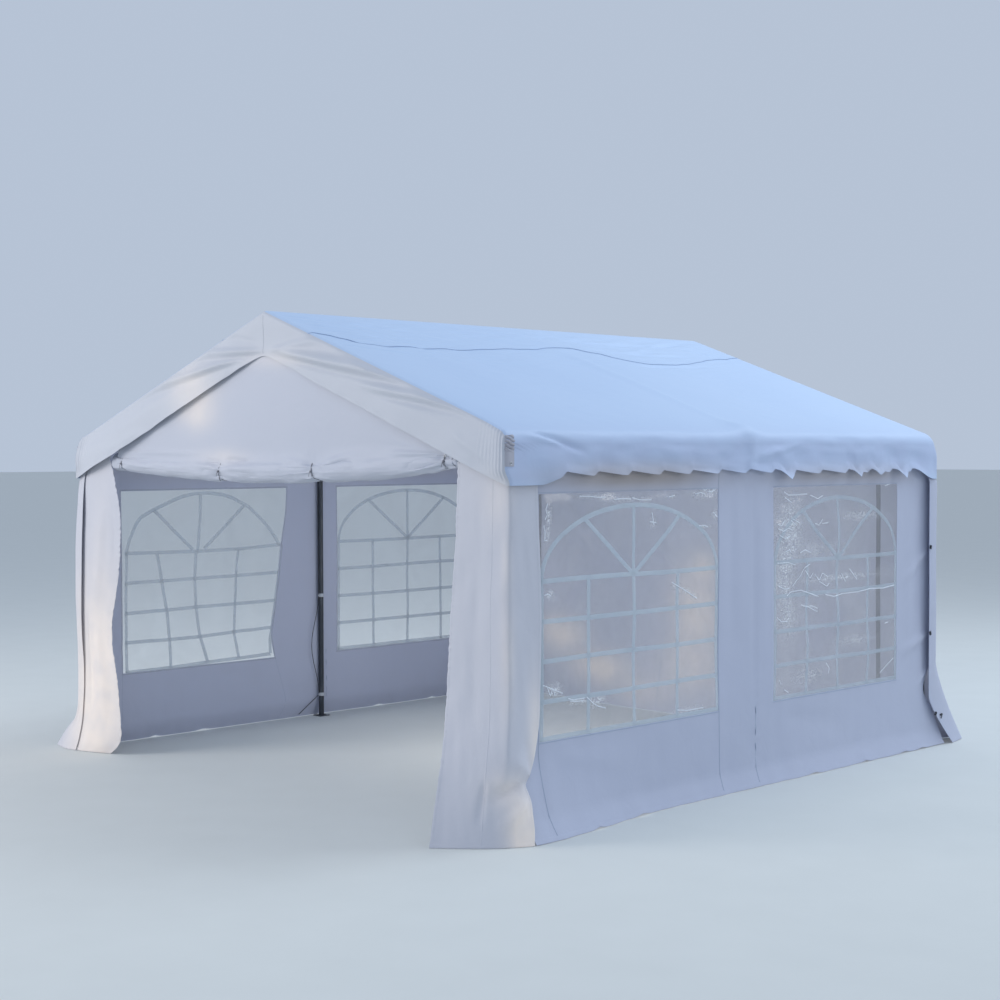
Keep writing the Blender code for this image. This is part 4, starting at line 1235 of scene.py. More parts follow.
# guides from the ground up: (height, x, y) of the doorway's edge, the corner and the flap's end
RIGHT_STRIP = {
    "edge": (
        (0.0, 1.772, -2.342), (0.15, 1.727, -2.272), (0.27, 1.692, -2.212), (0.37, 1.658, -2.16),
        (0.5, 1.62, -2.102), (0.65, 1.585, -2.05), (0.85, 1.562, -2.01), (1.06, 1.556, -1.992),
        (1.25, 1.563, -1.983), (1.45, 1.581, -1.981), (1.7, 1.596, -1.98), (1.9, 1.603, -1.98),
        (2.1, 1.575, -1.979),
    ),
    "corner": (
        (0.0, 2.058, -2.094), (0.2, 2.034, -2.06), (0.4, 2.016, -2.03), (0.6, 2.0, -2.004),
        (0.8, 1.99, -1.99), (1.1, 1.984, -1.984), (2.1, 1.982, -1.982),
    ),
    "flap": (
        (0.0, 2.118, -1.946), (0.07, 2.1, -1.926), (0.14, 2.078, -1.914), (0.21, 2.05, -1.898),
        (0.25, 2.032, -1.9), (0.285, 2.016, -1.902), (0.33, 2.006, -1.862), (0.38, 2.0, -1.832),
        (0.48, 1.99, -1.794), (0.61, 1.985, -1.768), (0.76, 1.982, -1.759), (0.9, 1.981, -1.756),
        (1.13, 1.98, -1.752), (1.33, 1.98, -1.758), (1.6, 1.98, -1.77), (1.8, 1.98, -1.776),
        (2.1, 1.98, -1.78),
    ),
}
LEFT_STRIP = {
    "edge": (
        (0.0, -1.672, -1.998), (0.05, -1.6, -1.99), (0.12, -1.564, -1.986), (0.22, -1.567, -1.985),
        (0.38, -1.583, -1.985), (0.57, -1.612, -1.985), (0.7, -1.646, -1.984), (0.89, -1.647, -1.982),
        (1.01, -1.612, -1.981), (1.11, -1.59, -1.981), (1.22, -1.568, -1.98), (1.35, -1.553, -1.98),
        (1.49, -1.55, -1.98), (1.61, -1.561, -1.98), (1.73, -1.594, -1.98), (1.82, -1.627, -1.98),
        (1.9, -1.66, -1.98), (2.1, -1.6, -1.979),
    ),
    "corner": (
        (0.0, -2.02, -2.125), (0.12, -2.03, -2.09), (0.25, -2.026, -2.064), (0.42, -2.018, -2.04),
        (0.6, -2.022, -2.032), (0.83, -2.034, -2.034), (1.1, -2.038, -2.038), (1.37, -2.036, -2.036),
        (1.6, -2.028, -2.028), (1.78, -2.014, -2.014), (1.92, -1.99, -1.99), (2.1, -1.982, -1.982),
    ),
    "flap": (
        (0.0, -2.235, -2.062), (0.1, -2.19, -2.024), (0.22, -2.11, -1.97), (0.34, -2.05, -1.93),
        (0.46, -2.02, -1.88), (0.6, -2.006, -1.83), (0.85, -1.998, -1.79), (1.2, -1.996, -1.78),
        (1.6, -1.99, -1.78), (1.9, -1.98, -1.78), (2.1, -1.98, -1.78),
    ),
}
# folds on the strips: (from (u, height), to (u, height), half widths, height), u from the corner
RIGHT_STRIP_FOLDS = (
    ((0.17, 0.29), (-0.16, 0.225), (0.016, 0.055), -0.026),
    ((0.2, 0.23), (-0.06, 0.06), (0.02, 0.06), 0.018), ((0.215, 0.31), (0.0, 0.44), (0.012, 0.05), 0.014),
    ((0.195, 0.33), (0.09, 0.56), (0.012, 0.04), -0.007),
    ((-0.128, 0.34), (-0.15, 0.06), (0.016, 0.03), -0.01),
    ((-0.03, 1.62), (-0.045, 0.5), (0.03, 0.05), 0.006), ((-0.22, 1.5), (-0.25, 0.3), (0.04, 0.06), -0.005),
    ((0.1, 1.75), (0.11, 0.62), (0.03, 0.04), -0.004),
)
LEFT_STRIP_FOLDS = (
    ((0.135, 1.0), (0.15, 0.11), (0.016, 0.03), -0.012), ((0.23, 1.7), (0.21, 0.7), (0.045, 0.05), 0.009),
    ((0.26, 0.9), (0.25, 0.15), (0.04, 0.06), 0.01), ((0.33, 1.72), (0.36, 1.1), (0.02, 0.03), -0.006),
    ((0.03, 0.33), (-0.03, 0.04), (0.016, 0.04), -0.014),
)


def round_corner(corner, first, second, distance, bend):
    """Plan points along two runs that leave a corner, at this distance along the second, with the
    corner itself rounded. first and second are the runs' unit directions."""
    reach = np.hypot(distance, bend)
    return corner + first * ((reach - distance) / 2)[:, None] + second * ((reach + distance) / 2)[:, None]


def plan_out(plan, u, v):
    """The direction, flat on the ground, in which a sheet faces outwards from its plan."""
    run = plan(u + 0.003, v) - plan(u - 0.003, v)
    run = run / np.linalg.norm(run, axis=1, keepdims=True)
    return np.stack((run[:, 1], -run[:, 0]), 1)


def hung_height(x, v, level):
    """Height of a hung sheet's point, v up it. Above STRIP_LEVEL it is stretched so that v = level
    lies just under the cover."""
    top = gable_line(np.minimum(np.abs(x), HALF_WIDTH - COVER_ROOM)) - UNDER_COVER
    share = np.clip((v - STRIP_LEVEL) / (level - STRIP_LEVEL), 0, 1)
    return GROUND_GAP + np.minimum(v, STRIP_LEVEL) + (top - STRIP_LEVEL - GROUND_GAP) * share


def strip_place(way, guides, lines, seed, extra=None):
    """Puts a (u, v) point of a front strip in place. u runs rightwards from the corner, and v up."""
    widths = (STRIP_FRONT, STRIP_SIDE) if way > 0 else (STRIP_SIDE, STRIP_FRONT)
    ends = ("edge", "flap") if way > 0 else ("flap", "edge")

    def plan(u, v):
        corner = curved_pair(guides["corner"], v)
        runs, reaches = [], []
        for end in ends:
            run = curved_pair(guides[end], v) - corner
            reach = np.linalg.norm(run, axis=1, keepdims=True)
            runs.append(run / reach)
            reaches.append(reach[:, 0])
        distance = np.where(u < 0, u / widths[0] * reaches[0], u / widths[1] * reaches[1])
        bend = STRIP_BEND + FOOT_BEND * (1 - eased(v, 0, 0.5))
        return round_corner(corner, runs[0], runs[1], distance, bend)

    def place(u, v):
        points = plan(u, v)
        from_edge = STRIP_FRONT + way * u
        puckers = PUCKER_HEIGHT * ripple(u * 0.2, v, 0.042, seed) * np.exp(-from_edge / PUCKER_REACH)
        broad, fine = STRIP_WAVES
        soft = broad * ripple(u, v, 0.3, seed + 1, 3.5) + fine * ripple(u, v, 0.1, seed + 2, 2.5)
        held = 1 - 0.7 * eased(v, 1.6, 1.85)
        out = (folds(u, v, lines) + soft) * held + puckers
        if extra:
            out = out + extra(u, v)
        points = points + plan_out(plan, u, v) * out[:, None]
        return np.column_stack((points, hung_height(points[:, 0], v, STRIP_HEIGHT)))
    return place


def slot_height(v):
    """Where the left strip's slot stands open: 1 at its middle heights and 0 at either end."""
    return eased(v, 0.45, 0.85) * (1 - eased(v, 1.55, 1.8))


def behind_wrap(u, v):
    """Sinks the left strip behind its wrap, deepest beside the slot."""
    depth = WRAP_DEPTHS[0] + WRAP_DEPTHS[1] * slot_height(v)
    return -depth * (1 - eased(u, SLOT_FROM_CORNER - 0.03, SLOT_FROM_CORNER + 0.08))


def wrap_lift(u, v):
    """Lifts the wrap's edge off the left strip."""
    lift = WRAP_LIFTS[0] + WRAP_LIFTS[1] * slot_height(v)
    return lift * eased(u, SLOT_FROM_CORNER - 0.05, SLOT_FROM_CORNER)


STRIP = sheeting("strip_sheeting", (0.63, 0.635, 0.69), (0.58, 0.59, 0.66), PAINTED_SUNLIGHT_TONE)
strip_levels = spaced(0, STRIP_HEIGHT, STRIP_ROWS)
right_strip = strip_place(1, RIGHT_STRIP, RIGHT_STRIP_FOLDS, 61)
left_strip = strip_place(-1, LEFT_STRIP, LEFT_STRIP_FOLDS, 71, behind_wrap)
left_wrap = strip_place(-1, LEFT_STRIP, LEFT_STRIP_FOLDS, 71, wrap_lift)


def upright(u, low=HEM_FOOT, high=HEM_HEAD):
    """A line straight up a strip."""
    return [(u, low), (u, high)]


def strip_hem(place, line, width=STRIP_HEM):
    """A hem sewn along this line of a strip."""
    return tape("hem", place, line, width, STRIP, step=0.012, **HEM_LAY)


strips = {
    "right": [
        cloth("strip", spaced(-STRIP_FRONT, STRIP_SIDE, 84), strip_levels, right_strip, STRIP),
        tape("seam", right_strip, upright(-STRIP_SEAM, 0.004), 0.008, STRIP, lift=0.0004, thickness=0.0006),
        strip_hem(right_strip, upright(-STRIP_FRONT + 0.008), 0.015),
        strip_hem(right_strip, upright(STRIP_SIDE - 0.009)[::-1], 0.016),
        strip_hem(right_strip, [(-STRIP_FRONT, 0.01), (STRIP_SIDE, 0.01)]),
    ],
    "left": [
        cloth("strip", spaced(SLOT_START, STRIP_FRONT, 52), strip_levels, left_strip, STRIP),
        cloth("wrap", spaced(-STRIP_SIDE, SLOT_FROM_CORNER, 44), strip_levels, left_wrap, STRIP),
        strip_hem(left_strip, upright(STRIP_FRONT - 0.008), 0.015),
        strip_hem(left_wrap, upright(SLOT_FROM_CORNER - 0.006, 0.01), 0.012),
        strip_hem(left_strip, [(SLOT_START, 0.01), (STRIP_FRONT, 0.01)]),
        strip_hem(left_wrap, [(-STRIP_SIDE, 0.01), (SLOT_FROM_CORNER, 0.01)]),
    ],
}
for side, parts in strips.items():
    strip = joined(parts, f"front_strip_sheet_{side}")
    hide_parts(f"front_strip_{side}")

# The side walls hang from the eave tubes, each with two clear windows between full-height seams.
# The wall stands a little off the ground between folds, and its back end swings outwards.
WALL_INSET = 0.039
WALL_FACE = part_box("side_wall_right")[1].x - WALL_INSET
WALL_END = 1.93
WALL_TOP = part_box("side_wall_right")[1].z
WALL_FLARE = 0.012
WALL_FLARE_TOP = 0.33
HEM_FLARE = 0.034
HEM_FLARE_TOP = 0.11
FRONT_FLARE = 0.105
FRONT_FLARE_TOP = 0.42
WALL_CELL = 0.026
# how far the back end of the wall is drawn along, and the left wall's slack beside its middle leg
WALL_END_DRAWN = (
    (0.0, 0.198), (0.13, 0.165), (0.19, 0.125), (0.27, 0.09), (0.344, 0.01), (0.43, 0.01),
    (0.54, 0.085), (0.8, 0.086), (2.02, 0.08),
)
LEFT_WALL_SLACK = (
    (0.0, -0.07), (0.12, -0.02), (0.25, -0.05), (0.48, -0.122), (0.6, -0.146), (0.89, -0.105),
    (1.09, -0.076), (1.29, -0.056), (1.55, -0.014), (1.72, -0.004), (2.02, 0.0),
)
LEFT_SLACK_AT = -0.3
LEFT_SLACK_REACH = 0.24
CREASE_Y = 0.075
CREASE_SHIFT = 0.012
WALL_GAP = 0.004
WALL_WAVES = (0.0045, 0.0014, 0.0035)
FRONT_TUCK = 0.006
HEM_LIFT = 0.01
RIB_HEIGHTS = (0.0012, 0.0034)
RIB_PACE = 150
HEM_AT = 0.012
HEM_WIDTH = 0.022
SEAM_TAPE = 0.012
SILL_DROP = {"left": 0.032, "right": 0.022}
HEAD_DROP = {"left": 0.066, "right": 0.02}
HEM_LIFTS = ((-1.42, 0.03), (-1.02, 0.05), (0.62, 0.04), (1.18, 0.03), (1.62, 0.025), (1.74, 0.02))
RIGHT_WALL_FOLDS = (
    ((1.93, 1.345), (1.62, 1.06), (0.012, 0.03), 0.014),
    ((1.93, 0.77), (1.6, 0.625), (0.012, 0.036), 0.016),
    ((1.92, 0.56), (1.84, 0.38), (0.012, 0.026), 0.014), ((1.83, 1.9), (1.8, 0.5), (0.03, 0.045), -0.012),
    ((1.74, 1.85), (1.72, 0.5), (0.03, 0.04), 0.007),
    ((CREASE_Y - CREASE_SHIFT, 1.9), (CREASE_Y - CREASE_SHIFT, 0.2), (0.01, 0.014), -0.006),
    ((-0.15, 1.85), (-0.12, 0.4), (0.04, 0.06), -0.006), ((0.15, 1.8), (0.16, 0.3), (0.04, 0.06), 0.005),
    ((-1.7, 0.42), (-0.9, 0.25), (0.04, 0.08), 0.006), ((0.3, 0.4), (1.1, 0.22), (0.04, 0.08), -0.006),
)
LEFT_WALL_FOLDS = (
    ((-1.88, 0.76), (-1.66, 0.6), (0.012, 0.04), 0.008),
    ((-0.03, 1.85), (-0.02, 0.2), (0.008, 0.012), 0.005), ((0.14, 1.85), (0.12, 0.3), (0.04, 0.06), -0.006),
    ((-1.0, 0.42), (-0.3, 0.25), (0.04, 0.08), 0.007), ((1.7, 0.42), (0.9, 0.22), (0.04, 0.08), -0.006),
)


def left_slack(along, v):
    """How far the left wall's slack draws its points along."""
    near = np.exp(-((along - LEFT_SLACK_AT) / LEFT_SLACK_REACH) ** 2)
    return curved(LEFT_WALL_SLACK, v) * near


def ground_flare(v, top, power=1.6):
    """0 above this height and 1 on the ground, rising ever faster."""
    return np.clip(1 - v / top, 0, 1) ** power


def wall_place(way, lines, seed):
    """Puts a (u, v) point of a side wall in place. way is -1 on the left and 1 on the right."""
    def place(u, v):
        along = way * u
        out = WALL_FLARE * ground_flare(v, WALL_FLARE_TOP) + HEM_FLARE * ground_flare(v, HEM_FLARE_TOP, 1.2)
        if way > 0:
            out = out + FRONT_FLARE * eased(-along, 0.7, 1.95) * ground_flare(v, FRONT_FLARE_TOP, 1.3)
        broad, fine, low = WALL_WAVES
        out = out + broad * ripple(along, v, 0.8, seed, 1.5) * (1 - eased(v, 1.75, 2.0))
        out = out + fine * ripple(along, v * 0.8, 0.16, seed + 1)
        out = out + low * ripple(along, v * 0.3, 0.28, seed + 2) * (1 - eased(v, 0.02, 0.22))
        out = out + folds(along, v, lines)
        press = np.exp(-((along - CREASE_Y - CREASE_SHIFT) / 0.018) ** 2) * eased(v, 0.1, 0.16)
        ribs = RIB_HEIGHTS[0] + RIB_HEIGHTS[1] * (1 - eased(v, 0.42, 0.6))
        out = out + ribs * np.sin(v * RIB_PACE) * press
        out = out - FRONT_TUCK * eased(-along, 1.72, 1.8)
        swing = curved(WALL_END_DRAWN, v) * eased(along, 1.55, WALL_END)
        if way < 0:
            swing = swing + left_slack(along, v)
        lifts = sum(np.exp(-((along - at) / half) ** 2) for at, half in HEM_LIFTS)
        z = WALL_GAP + v * (WALL_TOP - WALL_GAP) / WALL_TOP + HEM_LIFT * lifts * (1 - eased(v, 0, 0.1))
        return np.stack((way * (WALL_FACE + out), along + swing, z), 1)
    return place


WALL = sheeting("wall_sheeting", (0.535, 0.565, 0.685), (0.49, 0.525, 0.65))
BACK = sheeting("back_sheeting", (0.545, 0.57, 0.68), (0.5, 0.53, 0.65), PAINTED_SUNLIGHT_TONE)


def window_span(side, part):
    """(low y, high y, sill, head) of a window."""
    low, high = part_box(f"window_film_{part}_{side}")
    return low.y, high.y, low.z - SILL_DROP[side], high.z - HEAD_DROP[side]


def cut_lines(low, high, cell, stops):
    """Grid lines from low to high, about a cell apart, with a line at each stop."""
    marks = [low, *sorted(stops), high]
    runs = [spaced(a, b, max(1, round((b - a) / cell))) for a, b in zip(marks, marks[1:])]
    return np.concatenate([runs[0], *(run[1:] for run in runs[1:])])


WALLS = {}
WALL_THREAD = sheeting("wall_thread", (0.36, 0.42, 0.54), (0.42, 0.48, 0.6))
THROUGH = {"lift": 0.0007, "thickness": SHEET_THICKNESS + 0.0014}


def wall_stitches(side, start, end):
    """A line of stitches that goes through a side wall and shows on both faces."""
    return tape("seam", WALLS[side], [start, end], THREAD_WIDTH, WALL_THREAD, step=0.03, **THROUGH)


for side, way, lines, seed in (("left", -1, LEFT_WALL_FOLDS, 81), ("right", 1, RIGHT_WALL_FOLDS, 91)):
    WALLS[side] = wall_place(way, lines, seed)
    spans = [window_span(side, part) for part in ("front", "back")]
    sides_of = sorted(way * y for low, high, _, _ in spans for y in (low, high))
    sill, head = spans[0][2:]
    columns = cut_lines(-WALL_END, WALL_END, WALL_CELL, sides_of)
    rows = cut_lines(0, WALL_TOP, WALL_CELL, (0.055, 0.11, sill, head))
    holes = [(*sorted((way * low, way * high)), sill, head) for low, high, _, _ in spans]
    parts = [cloth("wall", columns, rows, WALLS[side], WALL, openings=holes)]
    seam_lines = ((holes[0][0] - SEAM_TAPE / 2, WALL_TOP), (holes[0][1] + SEAM_TAPE / 2, WALL_TOP),
                  (way * CREASE_Y, 0.5))
    for at, top in seam_lines:
        parts.append(wall_stitches(side, (at, 0.01), (at, top - 0.01)))
    for low, high, _, _ in holes:
        for level in (sill - SEAM_TAPE / 2, head + SEAM_TAPE / 2):
            parts.append(wall_stitches(side, (low, level), (high, level)))
    parts.append(tape("hem", WALLS[side], [(-WALL_END, HEM_AT), (WALL_END, HEM_AT)], HEM_WIDTH, WALL,
                      lift=0.0008, step=0.015))
    wall = joined(parts, f"side_wall_sheet_{side}")
    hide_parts(f"side_wall_{side}")

# Each window is one clear soft film welded behind its opening, crumpled from being folded. Pale tapes
# are welded on it as glazing bars: uprights and rails up to an arch with three spokes.
FILM_THICKNESS = 0.0006
FILM_CELL = 0.0158
FILM_LAP = 0.012
FILM_BEHIND = 0.0022
FILM_DENTS = (0.01, 0.007, 0.0035)
# where painted glints start and reach full strength in the crease pattern
GLINT_FROM = 0.47
GLINT_FULL = 0.6
BAR_WIDTH = 0.025
BAR_WAVE = 0.004
BAR_LIFT = 0.0008
BAR_THICKNESS = 0.0005
BAR_STEP = 0.02
BAR_BENDS = 12
ARCH_RISE = 0.375
ARCH_STEPS = 28
SPOKE_TURN = math.radians(52)
SLACK_TRIES = 12
RAILS = 4
RAIL_STEP = 0.206


def crumple(u, v, size, seed):
    """Sharp little creases between smooth dents, about 0 to 1 high."""
    first = ripple(u, v, size, seed)
    second = ripple(u + 7, v, size * 0.7, seed + 1)
    return (1 - np.abs(first)) * 0.6 + (1 - np.abs(second)) * 0.4


def film_finish(name, haze, streaks):
    """Clear film with a milky haze, more so in broad patches, and white glints painted along its creases.
    haze is partly the film's own milkiness and partly painted reflection of the sky.
    """
    material, tree, shader, place = finish_named(name, (0.64, 0.64, 0.66), 0.12)
    broad = node(tree, "TexNoise", {"Vector": place, "Scale": 2.4, "Detail": 3.0, "Distortion": 1.2})
    fine = node(tree, "Mapping", {"Vector": place, "Scale": (1, 1, 1.7)})
    glint_stroke = node(tree, "TexNoise", {"Vector": fine.outputs["Vector"], "Scale": 34.0, "Detail": 5.0,
                                     "Roughness": 0.62, "Distortion": 2.2})
    thin = node(tree, "ValToRGB", {"Fac": glint_stroke.outputs["Fac"]})
    thin.color_ramp.elements[0].position = GLINT_FROM
    thin.color_ramp.elements[1].position = GLINT_FULL
    # painted glints: the film turns white and more opaque where the crease pattern meets the marked zone
    zone = node(tree, "Attribute", attribute_name="glint_zone")
    streak = node(tree, "Math", {0: thin.outputs["Color"], 1: zone.outputs["Fac"]}, operation="MULTIPLY")
    shown = node(tree, "Math", {0: streak.outputs["Value"], 1: streaks}, operation="MULTIPLY")
    cloudy = node(tree, "MapRange", {"Value": broad.outputs["Fac"], "From Min": 0.3, "From Max": 0.7,
                                     "To Min": haze * 0.7, "To Max": haze * 1.35})
    alpha = node(tree, "Math", {0: cloudy.outputs["Result"], 1: shown.outputs["Value"]},
                 operation="ADD", use_clamp=True)
    tree.links.new(alpha.outputs["Value"], shader.inputs["Alpha"])
    mottled(tree, shader, streak.outputs["Value"], (0.62, 0.61, 0.63), (0.9, 0.93, 0.97))
    dents = node(tree, "TexNoise", {"Vector": place, "Scale": 9.0, "Detail": 4.0, "Distortion": 1.5})
    relief(tree, shader, dents.outputs["Fac"], 0.5, 0.01)
    shader.inputs["IOR"].default_value = 1.52
    shader.inputs["Coat Weight"].default_value = 0.6
    shader.inputs["Coat Roughness"].default_value = 0.06
    return material


def bar_finish(name, opacity):
    """Pale translucent tape with a faint grain along it."""
    material, tree, shader, place = finish_named(name, (0.52, 0.6, 0.68), 0.45)
    drift = node(tree, "TexNoise", {"Vector": place, "Scale": 5.0, "Detail": 4.0})
    mottled(tree, shader, drift.outputs["Fac"], (0.56, 0.65, 0.73), (0.68, 0.75, 0.81))
    grain = node(tree, "TexNoise", {"Vector": place, "Scale": 220.0})
    relief(tree, shader, grain.outputs["Fac"], 0.3, 0.0004)
    shader.inputs["Alpha"].default_value = opacity
    return material


# the right-hand films, seen from outside, get more haze for the sky they reflect, painted in, and stronger
# painted glints
FILMS = {"right": film_finish("milky_sky_reflecting_film", 0.2, 0.85), "left": film_finish("clear_film", 0.08, 0.5)}
BAR, WORN_BAR = bar_finish("glazing_tape", 0.5), bar_finish("worn_glazing_tape", 0.34)


def film_place(side, span, strength, seed):
    """Puts a (u, v) point of a window's film in place, on the wall at its edges and crumpled
    between them, most of all beside its first upright edge."""
    way = WAYS[side]
    low, high, sill, head = span

    def place(u, v):
        points = WALLS[side](u, v)
        along = way * u
        from_edge = np.minimum(np.minimum(along - low, high - along), np.minimum(v - sill, head - v))
        inside = eased(from_edge, -0.004, 0.05)
        zone = 0.25 + 0.75 * np.exp(-((along - low) / 0.55) ** 2) * eased(v, sill, sill + 0.3)
        broad, middling, sharp = FILM_DENTS
        dents = broad * ripple(along, v, 0.45, seed) + middling * zone * crumple(along, v, 0.17, seed + 1)
        dents = dents + sharp * zone * crumple(along, v, 0.06, seed + 3)
        points[:, 0] = points[:, 0] + way * (strength * dents * inside - FILM_BEHIND)
        return points
    return place


def wavy(start, end, seed):
    """A line between two points that strays a few millimetres to either side."""
    draw = np.random.default_rng(seed)
    bend, other = draw.uniform(-BAR_WAVE, BAR_WAVE, 2)
    du, dv = end[0] - start[0], end[1] - start[1]
    long = math.hypot(du, dv)
    line = []
    for t in spaced(0, 1, BAR_BENDS):
        off = bend * math.sin(math.pi * t) + other * math.sin(math.tau * t)
        line.append((start[0] + du * t - dv / long * off, start[1] + dv * t + du / long * off))
    return line


def glazing(side, span, seed):
    """The lines of a window's bars, in its wall's (u, v)."""
    way = WAYS[side]
    low, high, sill, head = span
    first, last = sorted((way * low, way * high))
    middle, half = (first + last) / 2, (last - first) / 2
    base = sill + RAILS * RAIL_STEP
    inset = BAR_WIDTH / 2
    lines = [
        [(first + inset, sill), (first + inset, base)], [(last - inset, sill), (last - inset, base)],
        [(first, sill + inset), (last, sill + inset)],
    ]
    for rail in range(1, RAILS + 1):
        lines.append(wavy((first, sill + rail * RAIL_STEP), (last, sill + rail * RAIL_STEP), seed + rail))
    for number, share in enumerate((-0.5, 0, 0.5)):
        at = middle + share * half
        lines.append(wavy((at, sill), (at, base), seed + 6 + number))
    arch = []
    for t in spaced(0, math.pi, ARCH_STEPS):
        arch.append((middle - (half - inset) * math.cos(t), base + ARCH_RISE * math.sin(t)))
    lines.append(arch)
    for turn in (-SPOKE_TURN, 0, SPOKE_TURN):
        reach = ARCH_RISE / math.hypot(math.cos(turn), ARCH_RISE / half * math.sin(turn))
        lines.append([(middle, base), (middle + math.sin(turn) * reach, base + math.cos(turn) * reach)])
    return lines


def sagging(lines):
    """The slack window's bars, from (y, z) points on the hung wall, each followed back to its place
    on the flat sheet."""
    flat = []
    for line in lines:
        y, z = np.array(line).T
        along = y
        for _ in range(SLACK_TRIES):
            along = y - left_slack(along, z)
        flat.append([(-place, height) for place, height in zip(along, z)])
    return flat


# the left front window hangs slack, and its bars bend with it: lines of (y, z)
SLACK_BARS = (
    ((-1.67, 0.47), (-1.672, 0.9), (-1.664, 1.29)),
    ((-0.452, 0.5), (-0.44, 0.69), (-0.408, 0.89), (-0.35, 1.29)),
    ((-1.68, 0.472), (-1.3, 0.474), (-0.9, 0.486), (-0.452, 0.496)),
    ((-1.68, 0.674), (-1.1, 0.668), (-0.7, 0.684), (-0.43, 0.688)),
    ((-1.68, 0.872), (-1.1, 0.88), (-0.7, 0.882), (-0.405, 0.884)),
    ((-1.68, 1.078), (-1.1, 1.082), (-0.7, 1.084), (-0.38, 1.088)),
    ((-1.68, 1.282), (-1.09, 1.272), (-0.7, 1.274), (-0.35, 1.29)),
    ((-1.422, 1.272), (-1.384, 1.085), (-1.346, 0.864), (-1.327, 0.671), (-1.317, 0.472)),
    ((-1.096, 1.272), (-1.111, 1.098), (-1.099, 0.889), (-1.065, 0.678), (-1.003, 0.48)),
    ((-0.734, 1.274), (-0.758, 1.079), (-0.769, 0.881), (-0.776, 0.669), (-0.737, 0.49)),
    ((-1.664, 1.29), (-1.64, 1.37), (-1.587, 1.473), (-1.547, 1.523), (-1.451, 1.57), (-1.306, 1.628),
     (-1.2, 1.662), (-1.092, 1.679), (-0.975, 1.68), (-0.87, 1.666), (-0.771, 1.638), (-0.632, 1.57),
     (-0.544, 1.492), (-0.474, 1.423), (-0.41, 1.35), (-0.362, 1.285)),
    ((-1.44, 1.568), (-1.3, 1.44), (-1.121, 1.285)),
    ((-1.059, 1.67), (-1.06, 1.48), (-1.082, 1.276)),
    ((-0.676, 1.585), (-0.85, 1.44), (-1.029, 1.288)),
)
